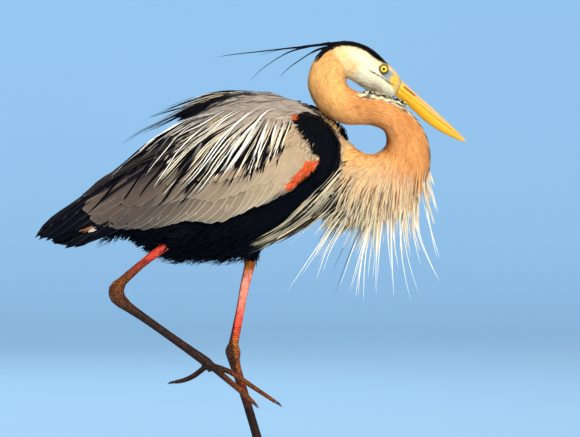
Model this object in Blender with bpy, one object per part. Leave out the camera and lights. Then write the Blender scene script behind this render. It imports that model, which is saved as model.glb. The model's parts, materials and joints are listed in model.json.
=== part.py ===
"""A life-size great blue heron in breeding plumage, caught in mid-stride on a plain display base.

The bird faces +X, its left side is +Y and +Z is up. The origin is the middle of the underside of the whole
model. Every piece of the body that lies in the bird's middle plane is a loft: a run of oval sections, each
set by the two points where it meets the side outline and by its half width. Lengths in the tables are in
millimetres and are turned to metres by MM.
"""

import math

import bmesh
import bpy
from mathutils import Matrix, Vector
from mathutils.geometry import intersect_point_line

MM = 0.001
GAP = 0.00016  # each piece stands back this far from its cut, so two neighbours are 0.3 mm apart
CLEAR = 0.0004  # how far a neighbour is swollen before it is cut out of a piece

# --- the bird's measures, in millimetres -------------------------------------------------------------
BASE_TOP = 14.0  # thickness of the display base
EYE_RADIUS = 9.4
EYE_PLACE = (204.0, 13.8, 638.0)
CREST_ROOT = 1.7  # radius of a head plume where it leaves the crown
CREST_TIP = 0.4
TOE_RADIUS = 4.9
CLAW_LENGTH = 13.0

# --- side outline sections: (upper point x, z), (lower point x, z), half width -----------------------
TRUNK = [
    ((-227, 448), (-229, 391), 18),
    ((-207, 464), (-210, 384), 27),
    ((-182, 484), (-187, 381), 38),
    ((-154, 508), (-160, 361), 50),
    ((-117, 542), (-123, 343), 62),
    ((-75, 577), (-75, 343), 68),
    ((-30, 597), (-30, 344), 71),
    ((16, 600), (10, 355), 71),
    ((60, 593), (47, 378), 68),
    ((94, 577), (83, 400), 61),
    ((124, 552), (115, 417), 52),
    ((146, 527), (153, 423), 42),
]
NECK = [
    ((146, 527), (153, 423), 42),
    ((177, 508), (190, 426), 33),
    ((196, 511), (238, 437), 29),
    ((207, 521), (272, 468), 27),
    ((208, 532), (277, 507), 26),
    ((205, 544), (270, 539), 24),
    ((196, 549), (252, 567), 22),
    ((181, 553), (226, 589), 20),
    ((164, 553), (196, 599), 19),
    ((145, 553), (170, 604), 20),
    ((122, 563), (156, 608), 22),
    ((101, 580), (149, 614), 22),
    ((87, 608), (146, 621), 22),
    ((88, 636), (148, 626), 22),
    ((100, 659), (152, 628), 22),
    ((122, 675), (156, 624), 22),
]
HEAD = [
    ((122, 675), (156, 624), 22),
    ((145, 684), (160, 621), 23),
    ((165, 681), (168, 617), 24),
    ((184, 673), (179, 610), 23),
    ((201, 659), (191, 604), 21),
    ((215, 644), (205, 600), 18),
    ((226, 631), (216, 597), 15),
    ((233, 622), (222, 597), 12.5),
]
BILL = [
    ((233, 622), (222, 597), 12.5),
    ((253, 603), (239, 585), 10.5),
    ((277, 582), (263, 563), 8.5),
    ((295, 565), (284, 547), 6.5),
    ((311, 550), (301, 538), 4.5),
    ((323, 538), (318, 530), 2.4),
    ((332.5, 528.5), (331.5, 526.5), 0.7),
]
FOLDED_WINGS = [
    ((-334, 381), (-332, 377), 5),
    ((-326, 393), (-324, 373), 8),
    ((-309, 408), (-308, 372), 13),
    ((-270, 436), (-270, 372), 23),
    ((-235, 462), (-235, 372), 31),
    ((-205, 487), (-210, 370), 41),
    ((-176, 508), (-187, 366), 52),
    ((-142, 534), (-155, 350), 65),
    ((-86, 573), (-90, 341), 79),
    ((-57, 592), (-57, 341), 82),
    ((-18, 604), (-18, 344), 84),
    ((29, 604), (19, 355), 82),
    ((75, 594), (60, 378), 76),
    ((103, 578), (91, 400), 67),
    ((127, 555), (115, 417), 57),
]
TAIL = [
    ((-190, 440), (-190, 388), 16),
    ((-212, 423), (-212, 382), 22),
    ((-235, 404), (-237, 373), 26),
    ((-264, 388), (-266, 365), 31),
    ((-290, 377), (-292, 363), 34),
    ((-309, 374), (-309, 368), 27),
]
BREAST_MASS = [
    ((100, 418), (92, 400), 9),
    ((126, 430), (116, 388), 20),
    ((150, 436), (142, 376), 26),
    ((178, 440), (174, 379), 28),
    ((206, 446), (209, 389), 28),
    ((232, 455), (241, 402), 25),
    ((256, 466), (264, 427), 19),
    ((270, 478), (277, 455), 9),
]
BACK_TUFT = [
    ((24, 602), (26, 590), 12),
    ((-18, 607), (-18, 586), 26),
    ((-57, 603), (-57, 574), 30),
    ((-84, 593), (-86, 562), 24),
    ((-109, 576), (-111, 556), 10),
]
# The dark patch at the bend of each wing: x, y, z and radius. The left one is carried higher and further on.
SHOULDERS = {
    "right": [
        (70, -49, 562, 8),
        (82, -52, 555, 17),
        (101, -53, 540, 21),
        (115, -49, 518, 20),
        (115, -51, 495, 16),
        (107, -54, 474, 12),
        (97, -57, 458, 6),
    ],
    "left": [
        (70, 46, 590, 6),
        (92, 48, 577, 12),
        (115, 48, 560, 15),
        (136, 44, 541, 15),
        (137, 44, 519, 14),
        (124, 49, 490, 13),
        (108, 54, 466, 6),
    ],
}

# The lower edge of the folded wing, from the shoulder back to the wing tip.
WING_EDGE = [
    (128, 500),
    (103, 486),
    (83, 467),
    (55, 449),
    (18, 429),
    (-11, 423),
    (-41, 409),
    (-67, 401),
    (-98, 404),
    (-159, 398),
    (-227, 400),
    (-243, 399),
    (-275, 387),
    (-305, 376),
    (-345, 372),
]
# The step where the long dark flight feathers come out from under the grey ones.
TIP_STEP_TOP = (-293, 470)
TIP_STEP_FOOT = (-222, 380)

# --- legs: x, y, z and radius, from the hip down -----------------------------------------------------
THIGHS = {
    "right": [(-34, -32, 452, 15), (-46, -34, 442, 28), (-69, -37, 421, 34), (-94, -40, 399, 28), (-115, -43, 381, 18), (-130, -45, 368, 9.5)],
    "left": [(16, 34, 442, 15), (14, 33, 430, 27), (9, 31, 408, 32), (5, 28, 384, 27), (2, 26, 362, 17), (-1, 25, 344, 10)],
}
SHINS = {
    "right": [(-131, -45, 367, 7.6), (-150, -43, 352.5, 7), (-172, -40, 335.5, 6.5), (-199, -37, 311.5, 8)],
    "left": [(-2, 25, 343, 9), (-12, 24, 300, 7.6), (-19, 23, 262, 7), (-29, 22, 213, 8)],
}
TARSI = {
    "right": [
        (-200, -37, 310.5, 8.6),
        (-208, -36, 299, 12.6),
        (-206, -35, 286, 12.4),
        (-190.5, -33, 272, 8.6),
        (-165.5, -31, 254.7, 7),
        (-123.5, -28, 224.7, 6.8),
        (-86, -25, 198, 7.6),
        (-69, -24, 185.5, 8.4),
        (-60, -24, 174.5, 8),
    ],
    "left": [
        (-29, 22, 212, 8.6),
        (-30, 22, 203, 12.2),
        (-29, 22, 194, 11.2),
        (-26, 21.5, 178, 8.6),
        (-13, 20.5, 137, 7.4),
        (3, 19, 84, 7.2),
        (17.5, 18, 34, 8.4),
        (21, 18, 24, 7),
    ],
}
ANKLES = {"right": (-67, -24, 183), "left": (19, 18, 28)}  # where the toes meet
# A toe is given by three steps from there: forward, sideways and up.
RIGHT_TOES = {
    "middle": [(34, -6, -11.5), (68, -13, -33.5), (104, -19, -57)],
    "inner": [(26, 7, -22), (48, 13, -41), (67, 18, -59)],
    "outer": [(28, -15, -21), (51, -30, -39), (71, -44, -57)],
    "hallux": [(-21, 5, -17), (-38, 9, -25), (-53, 12, -28)],
}
TOE_TAPER = (1.0, 0.98, 0.86, 0.66)  # radius at the ball and at each knuckle
DROPS = [BASE_TOP + lift + TOE_RADIUS * k - ANKLES["left"][2] for lift, k in zip((1.1, 0.5, 0.5), TOE_TAPER[1:])]
LEFT_TOES = {
    "middle": [(30, 2, DROPS[0]), (66, 5, DROPS[1]), (106, 6, DROPS[2])],
    "inner": [(22, -16, DROPS[0]), (46, -33, DROPS[1]), (66, -45, DROPS[2])],
    "outer": [(24, 19, DROPS[0]), (52, 38, DROPS[1]), (76, 53, DROPS[2])],
    "hallux": [(-22, -5, DROPS[0]), (-38, -9, DROPS[1]), (-54, -12, DROPS[2])],
}

# Head plumes: x, y, z along each, from the nape to the tip.
CREST = [
    [(127, 3, 683.5), (110, 4, 681), (60, 7, 673), (5, 9, 667), (-55, 10, 660)],
    [(125, -3, 683), (103, -5, 678), (75, -8, 671), (36, -12, 665), (-5, -14, 652)],
    [(121, -9, 680.5), (100, -12, 675), (67, -16, 666), (29, -20, 649), (-5, -22, 618)],
    [(117, 9, 678.5), (100, 14, 671), (80, 18, 659), (57, 21, 643), (40, 23, 626)],
]
# Long breast plumes: root x, z and tip x, z, with the sideways place of root and tip.
BREAST_PLUMES = [
    ((262, 472), (306, 327), 6, 10),
    ((252, 462), (289, 312), -12, -20),
    ((240, 452), (274, 318), 14, 24),
    ((232, 450), (255, 279), -6, -9),
    ((214, 445), (222, 275), 11, 20),
    ((200, 442), (197, 282), -13, -25),
    ((184, 440), (165, 273), 4, 7),
    ((170, 438), (146, 281), -10, -22),
    ((162, 436), (118, 278), 13, 26),
    ((154, 434), (93, 274), -5, -9),
    ((148, 432), (114, 312), -18, -30),
    ((140, 430), (62, 296), 10, 18),
    ((132, 426), (50, 350), -14, -24),
]
BACK_PLUMES = [
    ((-40, 600), (-108, 592), (-172, 562), 14),
    ((-50, 592), (-115, 577), (-172, 546), -16),
    ((-56, 586), (-125, 562), (-212, 516), 8),
]

BODY = {"egg": 0.08, "full": 2.15}  # the body's sections are a little wider above, and a little square

COLOURS = {
    "buff": (0.80, 0.52, 0.30),
    "cream": (0.86, 0.78, 0.62),
    "slate": (0.33, 0.32, 0.33),
    "black": (0.02, 0.02, 0.035),
    "flight": (0.05, 0.05, 0.08),
    "bill_yellow": (0.95, 0.62, 0.06),
    "iris": (0.95, 0.75, 0.05),
    "leg_red": (0.62, 0.22, 0.12),
    "leg_brown": (0.16, 0.09, 0.06),
    "claw": (0.06, 0.05, 0.05),
    "wood": (0.35, 0.24, 0.16),
}


# --- tools -------------------------------------------------------------------------------------------
def clear_scene():
    """Leaves nothing of the startup scene."""
    for obj in list(bpy.data.objects):
        bpy.data.objects.remove(obj)


def make_collection(name, hidden=False):
    """A new collection under the scene's own; a hidden one holds cutters."""
    made = bpy.data.collections.new(name)
    made.hide_render = hidden
    bpy.context.scene.collection.children.link(made)
    return made


def material(name, roughness=0.7, metallic=0.0):
    """A Principled material of the named colour."""
    mat = bpy.data.materials.get(name)
    if mat is None:
        mat = bpy.data.materials.new(name)
        mat.use_nodes = True
        shader = mat.node_tree.nodes["Principled BSDF"]
        shader.inputs["Base Color"].default_value = (*COLOURS[name], 1.0)
        shader.inputs["Roughness"].default_value = roughness
        shader.inputs["Metallic"].default_value = metallic
    return mat


def add_object(name, bm, collection, finish=None):
    """Puts a bmesh in the scene as a smooth-shaded object."""
    mesh = bpy.data.meshes.new(name)
    bmesh.ops.recalc_face_normals(bm, faces=bm.faces[:])
    bm.to_mesh(mesh)
    bm.free()
    obj = bpy.data.objects.new(name, mesh)
    collection.objects.link(obj)
    if finish:
        mesh.materials.append(material(finish))
        mesh.shade_smooth()
        mesh.set_sharp_from_angle(angle=math.radians(50))
    return obj


def smooth_run(rows, steps):
    """Catmull-Rom values through rows of numbers, with this many steps between two rows."""
    out = []
    for i in range(len(rows) - 1):
        before = rows[max(i - 1, 0)]
        start, end = rows[i], rows[i + 1]
        after = rows[min(i + 2, len(rows) - 1)]
        for k in range(steps):
            t = k / steps
            out.append(
                [
                    0.5 * (2 * b + (c - a) * t + (2 * a - 5 * b + 4 * c - d) * t * t + (3 * b - a - 3 * c + d) * t**3)
                    for a, b, c, d in zip(before, start, end, after)
                ]
            )
    out.append(list(rows[-1]))
    return out


def sections(stations, steps):
    """Stations as smooth rows of upper x, upper z, lower x, lower z and half width, in metres."""
    rows = [[v * MM for v in (*upper, *lower, width)] for upper, lower, width in stations]
    return smooth_run(rows, steps)


def ring_matrix(row, grow):
    """Carries the unit circle onto one oval section, swollen by grow."""
    upper, lower = Vector((row[0], 0, row[1])), Vector((row[2], 0, row[3]))
    half = (upper - lower) / 2
    tall = half * (1 + grow / half.length)
    wide = Vector((0, row[4] + grow, 0))
    across = tall.cross(wide).normalized()
    matrix = Matrix((tall, wide, across)).transposed().to_4x4()
    matrix.translation = (upper + lower) / 2
    return matrix


def loft(name, rows, sides, collection, finish=None, grow=0.0, egg=0.0, full=2.0, ends=(0.0, 0.0)):
    """A closed body through oval sections.

    egg makes the upper half wider, full above 2 squares the ovals, and ends draws the two caps back along
    the run, or pushes them out where it is negative.
    """
    rows = [list(row) for row in rows]
    for index, inner, back in ((0, 1, ends[0]), (-1, -2, ends[1])):
        first, second = rows[index], rows[inner]
        span = Vector((second[0] + second[2] - first[0] - first[2], second[1] + second[3] - first[1] - first[3])) / 2
        if back:
            share = back / span.length
            rows[index] = [a + (b - a) * share for a, b in zip(first, second)]
    bm = bmesh.new()
    rings = []
    for row in rows:
        made = bmesh.ops.create_circle(bm, cap_ends=False, segments=sides, radius=1.0)
        matrix = ring_matrix(row, grow)
        for vert in made["verts"]:
            x, y = vert.co.x, vert.co.y
            reach = (abs(x) ** full + abs(y) ** full) ** (-1 / full)
            vert.co = matrix @ Vector((x * reach, y * reach * (1 + egg * x), 0))
        rings.append({edge for vert in made["verts"] for edge in vert.link_edges})
    for ring, following in zip(rings, rings[1:]):
        bmesh.ops.bridge_loops(bm, edges=list(ring | following))
    bmesh.ops.holes_fill(bm, edges=[edge for edge in bm.edges if edge.is_boundary], sides=0)
    return add_object(name, bm, collection, finish)


def tube(name, points, radii, collection, finish=None, flat=1.0, steps=3, resolution=1):
    """A tapering rod through points, as a mesh with closed ends; flat squeezes it sideways about its own line."""
    rows = smooth_run([[*p, r] for p, r in zip(points, radii)], steps)
    curve = bpy.data.curves.new(name, "CURVE")
    curve.dimensions = "3D"
    curve.bevel_depth = MM
    curve.bevel_resolution = resolution
    curve.use_fill_caps = True
    spline = curve.splines.new("POLY")
    spline.points.add(len(rows) - 1)
    for point, row in zip(spline.points, rows):
        point.co = (row[0] * MM, row[1] * MM, row[2] * MM, 1.0)
        point.radius = row[3]
    drawn = bpy.data.objects.new(name + "_line", curve)
    collection.objects.link(drawn)
    bpy.context.view_layer.update()
    bm = bmesh.new()
    evaluated = drawn.evaluated_get(bpy.context.evaluated_depsgraph_get())
    bm.from_mesh(evaluated.to_mesh())
    bmesh.ops.remove_doubles(bm, verts=bm.verts[:], dist=0.00001)
    bpy.data.objects.remove(drawn)
    if flat != 1.0:
        line = [Vector(row[:3]) * MM for row in rows]
        for vert in bm.verts:
            middle = nearest_y(vert.co, line)
            vert.co.y = middle + (vert.co.y - middle) * flat
    return add_object(name, bm, collection, finish)


def limb(name, line, collection, finish, flat, resolution):
    """A tube given as one row of x, y, z and radius for each of its points."""
    points, radii = [row[:3] for row in line], [row[3] for row in line]
    return tube(name, points, radii, collection, finish, flat=flat, steps=2, resolution=resolution)


def nearest_y(place, line):
    """The y of the point of a broken line that is nearest to a place."""
    best = (1e9, 0.0)
    for start, end in zip(line, line[1:]):
        _, share = intersect_point_line(place, start, end)
        spot = start.lerp(end, min(max(share, 0.0), 1.0))
        best = min(best, ((spot - place).length, spot.y))
    return best[1]


def prism(name, outline, low_y, high_y, collection):
    """An outline in the side view, x and z in millimetres, drawn through from low_y to high_y."""
    curve = bpy.data.curves.new(name, "CURVE")
    curve.dimensions = "2D"
    curve.fill_mode = "BOTH"
    curve.extrude = (high_y - low_y) / 2 * MM
    spline = curve.splines.new("POLY")
    spline.points.add(len(outline) - 1)
    spline.use_cyclic_u = True
    for point, (x, z) in zip(spline.points, outline):
        point.co = (x * MM, z * MM, 0.0, 1.0)
    drawn = bpy.data.objects.new(name + "_line", curve)
    drawn.rotation_euler = (math.pi / 2, 0, 0)
    drawn.location = (0, (high_y + low_y) / 2 * MM, 0)
    collection.objects.link(drawn)
    bpy.context.view_layer.update()
    bm = bmesh.new()
    evaluated = drawn.evaluated_get(bpy.context.evaluated_depsgraph_get())
    bm.from_mesh(evaluated.to_mesh())
    bmesh.ops.transform(bm, matrix=drawn.matrix_world, verts=bm.verts[:])
    bmesh.ops.remove_doubles(bm, verts=bm.verts[:], dist=0.00001)
    bpy.data.objects.remove(drawn)
    return add_object(name, bm, collection)


def carve(obj, keep=(), remove=(), join=()):
    """Applies Booleans to an object: it is joined with some, kept inside others and cut by the rest."""
    for operation, others in (("UNION", join), ("INTERSECT", keep), ("DIFFERENCE", remove)):
        for other in others:
            modifier = obj.modifiers.new(operation.title(), "BOOLEAN")
            modifier.operation = operation
            modifier.solver = "EXACT"
            modifier.object = other
    bpy.context.view_layer.update()
    evaluated = obj.evaluated_get(bpy.context.evaluated_depsgraph_get())
    carved = bpy.data.meshes.new_from_object(evaluated)
    obj.modifiers.clear()
    obj.data = carved
    return obj


def swollen(obj, by, collection):
    """A copy of a mesh object, pushed out along its normals, to cut a clearance with."""
    bm = bmesh.new()
    bm.from_mesh(obj.data)
    bm.normal_update()
    moves = [(vert, vert.normal * by) for vert in bm.verts]
    for vert, move in moves:
        vert.co += move
    return add_object(obj.name + "_swollen", bm, collection)


# --- the bird ----------------------------------------------------------------------------------------
class Heron:
    """Builds each group of pieces and keeps those that a neighbour has to be cut clear of."""

    def __init__(self):
        self.parts = make_collection("great_blue_heron")
        self.cutters = make_collection("cutters", hidden=True)

    def trunk(self):
        rows = sections(TRUNK, 2)
        self.trunk_body = loft("trunk", rows, 16, self.parts, "black", ends=(0, GAP), **BODY)
        self.trunk_room = loft("trunk_room", rows, 16, self.cutters, grow=CLEAR, ends=(-CLEAR, -CLEAR), **BODY)

    def neck(self):
        rows = sections(NECK, 2)
        names = ["neck_lower", "neck_front", "neck_middle", "neck_upper"]
        splits = [0, 7, 13, 22, 30]
        for name, start, end in zip(names, splits, splits[1:]):
            loft(name, rows[start : end + 1], 12, self.parts, "buff", ends=(GAP, GAP))
        self.neck_room = loft("neck_room", rows[:15], 12, self.cutters, grow=CLEAR)
        self.nape_room = loft("nape_room", rows[22:], 12, self.cutters, grow=CLEAR)

    def head(self):
        rows = sections(HEAD, 2)
        head = loft("head", rows, 16, self.parts, "cream", full=2.1, ends=(GAP, GAP))
        self.head_room = loft("head_room", rows, 16, self.cutters, grow=CLEAR, full=2.1)
        x, y, z = (v * MM for v in EYE_PLACE)
        sockets = []
        for side, name in ((-1, "eye_right"), (1, "eye_left")):
            for label, radius, home in ((name, EYE_RADIUS * MM, self.parts), (name + "_room", EYE_RADIUS * MM + CLEAR, self.cutters)):
                bm = bmesh.new()
                bmesh.ops.create_uvsphere(bm, u_segments=10, v_segments=6, radius=radius)
                bmesh.ops.rotate(bm, matrix=Matrix.Rotation(math.pi / 2, 3, "X"), verts=bm.verts[:])
                bmesh.ops.translate(bm, vec=(x, side * y, z), verts=bm.verts[:])
                made = add_object(label, bm, home, "iris" if home is self.parts else None)
            sockets.append(made)
        carve(head, remove=sockets)

    def bill(self):
        """The two jaws are the halves of one tapering body, parted along the line of the mouth."""
        rows = sections(BILL, 2)
        gape_line = [(rows[0][0] + (rows[0][2] - rows[0][0]) * 0.52, rows[0][1] + (rows[0][3] - rows[0][1]) * 0.52)]
        tip = ((rows[-1][0] + rows[-1][2]) / 2, (rows[-1][1] + rows[-1][3]) / 2)
        start = Vector(gape_line[0])
        along = (Vector(tip) - start).normalized()
        up = Vector((-along.y, along.x))
        for name, side in (("bill_upper", 1), ("bill_lower", -1)):
            jaw = loft(name, rows, 12, self.parts, "bill_yellow", full=1.9, ends=(GAP, 0))
            near, far = start - along * 0.05 + up * side * GAP, start + along * 0.3 + up * side * GAP
            block = [near, far, far + up * side * 0.08, near + up * side * 0.08]
            half = prism(name + "_half", [(p.x / MM, p.y / MM) for p in block], -40, 40, self.cutters)
            carve(jaw, keep=[half])

    def crest(self):
        radii = [CREST_ROOT, CREST_ROOT * 0.95, CREST_ROOT * 0.8, CREST_ROOT * 0.55, CREST_TIP]
        for number, line in enumerate(CREST, 1):
            plume = tube(f"crest_{number}", line, radii, self.parts, "flight", steps=2, resolution=0)
            carve(plume, remove=[self.head_room, self.nape_room])

    def tail(self):
        rows = sections(TAIL, 2)
        tail = loft("tail", rows, 12, self.parts, "flight", full=2.4)
        carve(tail, remove=[self.trunk_room])
        self.tail_room = loft("tail_room", rows, 12, self.cutters, grow=CLEAR, full=2.4, ends=(0, -CLEAR))

    def shoulders(self):
        self.shoulder_rooms = {}
        for hand, line in SHOULDERS.items():
            patch = limb(f"shoulder_{hand}", line, self.parts, "black", flat=0.7, resolution=2)
            self.shoulder_rooms[hand] = swollen(patch, CLEAR, self.cutters)
            carve(patch, remove=[self.trunk_room, self.neck_room])

    def wings(self):
        """Each folded wing is a shell of the outer body form over the trunk, trimmed to the wing's outline."""
        rows = sections(FOLDED_WINGS, 1)
        top = [(-345, 640), (128, 640)]
        edge = [*WING_EDGE, *top]
        tip_top, tip_foot = Vector(TIP_STEP_TOP), Vector(TIP_STEP_FOOT)
        ahead = (tip_foot - tip_top).orthogonal().normalized() * (GAP / MM)
        front_half = [tip_top + ahead, tip_foot + ahead, (200, 300), (200, 660), (-300, 660)]
        rear_half = [tip_top - ahead, tip_foot - ahead, (-400, 300), (-400, 660), (-300, 660)]
        pieces = (("wing", front_half, "slate"), ("wing_tip", rear_half, "flight"))
        for side, hand in ((-1, "right"), (1, "left")):
            parting = self.back_parting(side)
            below = [self.tail_room, self.trunk_room, self.shoulder_rooms[hand], self.thigh_rooms[hand]]
            for part, half, finish in pieces:
                shell = loft(f"{part}_{hand}", rows, 16, self.parts, finish, **BODY)
                low, high = sorted((side * -4, side * 125))
                outline = prism(f"{part}_{hand}_outline", edge, low, high, self.cutters)
                portion = prism(f"{part}_{hand}_portion", [tuple(p) for p in half], low - 5, high + 5, self.cutters)
                carve(shell, keep=[outline, portion, parting], remove=below)

    def back_parting(self, side):
        """What lies outside the strip of mantle feathers that shows between the two folded wings."""
        plan = [(-360, 0.2), (-110, 0.2), (-60, 10), (0, 16), (60, 24), (143, 30), (143, 137), (-360, 137)]
        if side < 0:
            plan = [(x, -y) for x, y in reversed(plan)]
        bm = bmesh.new()
        for level in (0.3, 0.7):
            for x, y in plan:
                bm.verts.new((x * MM, y * MM, level))
        bm.verts.ensure_lookup_table()
        count = len(plan)
        for i in range(count):
            j = (i + 1) % count
            bm.faces.new([bm.verts[k] for k in (i, j, count + j, count + i)])
        bm.faces.new([bm.verts[k] for k in range(count)])
        bm.faces.new([bm.verts[count + k] for k in range(count)])
        return add_object(f"parting_{side}", bm, self.cutters)

    def back_plumes(self):
        tuft = loft("back_plumes", sections(BACK_TUFT, 2), 12, self.parts, "flight")
        blades = []
        for number, (root, middle, tip, y) in enumerate(BACK_PLUMES):
            line = [(root[0], y * 0.4, root[1]), (middle[0], y * 0.9, middle[1]), (tip[0], y * 1.4, tip[1])]
            blades.append(tube(f"blade_{number}", line, [3.2, 1.5, 0.4], self.cutters, steps=2, resolution=0))
        cover = loft("cover_room", sections(FOLDED_WINGS, 1), 16, self.cutters, grow=CLEAR, **BODY)
        carve(tuft, join=blades, remove=[cover, self.trunk_room])

    def breast_plumes(self):
        mass = loft("breast_plumes", sections(BREAST_MASS, 2), 16, self.parts, "cream")
        blades = []
        for number, (root, tip, y_root, y_tip) in enumerate(BREAST_PLUMES):
            third = [root[k] + (tip[k] - root[k]) * 0.36 for k in (0, 1)]
            bend = (root[0] - tip[0]) * 0.10
            line = [
                (root[0], y_root, root[1]),
                (third[0] + bend, y_root + (y_tip - y_root) * 0.4, third[1]),
                (tip[0], y_tip, tip[1]),
            ]
            blades.append(tube(f"strand_{number}", line, [5.0, 2.4, 0.4], self.cutters, steps=2, resolution=0))
        carve(mass, join=blades)
        carve(mass, remove=[self.neck_room, self.trunk_room])

    def thighs(self):
        """The feathered drumsticks lie in hollows of the trunk."""
        self.thigh_rooms = {}
        for hand, line in THIGHS.items():
            thigh = limb(f"thigh_{hand}", line, self.parts, "black", flat=0.74, resolution=3)
            self.thigh_rooms[hand] = swollen(thigh, CLEAR, self.cutters)
        carve(self.trunk_body, remove=self.thigh_rooms.values())

    def legs(self):
        """The bare leg: the shin, the long shank with the bulge of the heel joint at its top, and the foot."""
        for hand, toes in (("right", RIGHT_TOES), ("left", LEFT_TOES)):
            shank = limb(f"tarsus_{hand}", TARSI[hand], self.parts, "leg_brown", flat=0.8, resolution=2)
            shank_room = swollen(shank, CLEAR, self.cutters)
            shin = limb(f"shin_{hand}", SHINS[hand], self.parts, "leg_red", flat=0.85, resolution=2)
            carve(shin, remove=[shank_room, self.thigh_rooms[hand]])
            self.foot(hand, Vector(ANKLES[hand]), toes, shank_room)

    def foot(self, hand, ball, toes, shank_room):
        """Four toes and their claws; a toe is cut clear of the shank and of the toe before it."""
        rooms = [shank_room]
        for toe, steps in toes.items():
            knuckles = [ball + Vector(step) for step in steps]
            points = [ball.lerp(knuckles[0], 0.14), *knuckles]
            radii = [TOE_RADIUS * k for k in TOE_TAPER]
            piece = tube(f"{toe}_toe_{hand}", points, radii, self.parts, "leg_brown", steps=2)
            room = swollen(piece, CLEAR, self.cutters)
            carve(piece, remove=rooms)
            rooms.append(room)
            self.claw(f"{toe}_claw_{hand}", points)

    def claw(self, name, points):
        along = (points[-1] - points[-2]).normalized()
        start = points[-1] + along * 0.35
        tip = start + along * CLAW_LENGTH * 0.9 - Vector((0, 0, TOE_RADIUS * 0.42))
        line = [start, start + along * CLAW_LENGTH * 0.5 + Vector((0, 0, 0.35)), tip]
        tube(name, line, [TOE_RADIUS * 0.58, TOE_RADIUS * 0.4, 0.3], self.parts, "claw", steps=2, resolution=0)

    def stand(self):
        """A plain flat base, because a bird on one foot would fall over."""
        bm = bmesh.new()
        bmesh.ops.create_cube(bm, size=1.0)
        bmesh.ops.scale(bm, vec=(300 * MM, 210 * MM, BASE_TOP * MM), verts=bm.verts[:])
        bmesh.ops.translate(bm, vec=(0, 0, BASE_TOP / 2 * MM), verts=bm.verts[:])
        uprights = [e for e in bm.edges if abs(e.verts[0].co.z - e.verts[1].co.z) > BASE_TOP / 2 * MM]
        bmesh.ops.bevel(bm, geom=uprights, offset=22 * MM, segments=5, affect="EDGES", profile=0.5)
        rim = [e for e in bm.edges if min(v.co.z for v in e.verts) > (BASE_TOP - 0.1) * MM]
        bmesh.ops.bevel(bm, geom=rim, offset=3 * MM, segments=2, affect="EDGES", profile=0.5)
        add_object("stand_base", bm, self.parts, "wood")


def main():
    clear_scene()
    heron = Heron()
    heron.trunk()
    heron.neck()
    heron.head()
    heron.bill()
    heron.crest()
    heron.tail()
    heron.thighs()
    heron.shoulders()
    heron.wings()
    heron.back_plumes()
    heron.breast_plumes()
    heron.legs()
    heron.stand()
    for obj in heron.cutters.objects:
        obj.hide_render = True
        obj.display_type = "WIRE"


main()
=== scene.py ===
"""A life-size great blue heron in breeding plumage, dressed feather by feather over its solid model.

The bird faces +X, its left side is +Y and +Z is up. Lengths in the tables are in millimetres and are turned
to metres by MM. Each feather is a thin closed vane: a raised shaft line down the middle and an edge on each
side.
"""

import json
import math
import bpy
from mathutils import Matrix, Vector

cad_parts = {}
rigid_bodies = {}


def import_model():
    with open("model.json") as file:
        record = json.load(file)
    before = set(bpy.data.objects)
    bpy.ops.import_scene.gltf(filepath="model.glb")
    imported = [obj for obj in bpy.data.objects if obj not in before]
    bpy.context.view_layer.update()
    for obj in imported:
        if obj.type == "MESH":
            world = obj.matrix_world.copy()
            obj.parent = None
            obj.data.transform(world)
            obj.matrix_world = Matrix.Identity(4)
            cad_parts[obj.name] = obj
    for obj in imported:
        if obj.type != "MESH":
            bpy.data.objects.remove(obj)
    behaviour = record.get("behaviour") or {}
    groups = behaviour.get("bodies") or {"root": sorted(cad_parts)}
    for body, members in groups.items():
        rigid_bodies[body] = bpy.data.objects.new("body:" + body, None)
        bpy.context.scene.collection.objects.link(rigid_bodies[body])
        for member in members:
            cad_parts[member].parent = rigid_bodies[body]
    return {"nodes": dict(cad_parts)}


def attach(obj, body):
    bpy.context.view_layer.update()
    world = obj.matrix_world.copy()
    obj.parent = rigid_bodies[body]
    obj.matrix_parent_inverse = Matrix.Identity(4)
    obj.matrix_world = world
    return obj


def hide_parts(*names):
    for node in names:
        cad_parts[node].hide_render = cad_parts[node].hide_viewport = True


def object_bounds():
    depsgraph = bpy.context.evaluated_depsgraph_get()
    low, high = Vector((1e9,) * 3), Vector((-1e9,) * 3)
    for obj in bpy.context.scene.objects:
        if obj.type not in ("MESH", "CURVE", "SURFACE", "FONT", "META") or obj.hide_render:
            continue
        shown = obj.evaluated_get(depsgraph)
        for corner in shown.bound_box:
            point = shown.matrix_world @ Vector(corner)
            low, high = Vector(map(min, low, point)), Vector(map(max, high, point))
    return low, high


bl_info = {
    "name": "Great Blue Heron Plumage",
    "version": (1, 0, 0),
    "blender": (4, 5, 0),
    "location": "3D View > Sidebar > Heron",
    "description": "Dresses the heron model with skin, plumage, bill, eyes, claws, base and a studio",
    "category": "Add Mesh",
}

import bmesh
import bpy
import numpy as np
from bpy.props import FloatProperty, FloatVectorProperty, IntProperty, PointerProperty
from bpy.types import Operator, Panel, PropertyGroup
from mathutils import Matrix, Vector
from mathutils.bvhtree import BVHTree

for startup_object in list(bpy.data.objects):
    bpy.data.objects.remove(startup_object)
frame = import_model()
CAD_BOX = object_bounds()
MM = 0.001

SIDES = {"right": -1, "left": 1}
TOES = [f"{toe}_toe_{hand}" for hand in SIDES for toe in ("middle", "inner", "outer", "hallux")]
CLAWS = [name.replace("_toe_", "_claw_") for name in TOES]
LEGS = [f"{part}_{hand}" for hand in SIDES for part in ("shin", "tarsus")] + TOES
NECK_NODES = ["neck_lower", "neck_front", "neck_middle", "neck_upper"]
WINGS = [f"{part}_{hand}" for hand in SIDES for part in ("wing", "wing_tip")]
BODY_NODES = (
    ["trunk", "head", "tail", *NECK_NODES, *WINGS]
    + [f"{part}_{hand}" for hand in SIDES for part in ("thigh", "shoulder")]
)

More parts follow.
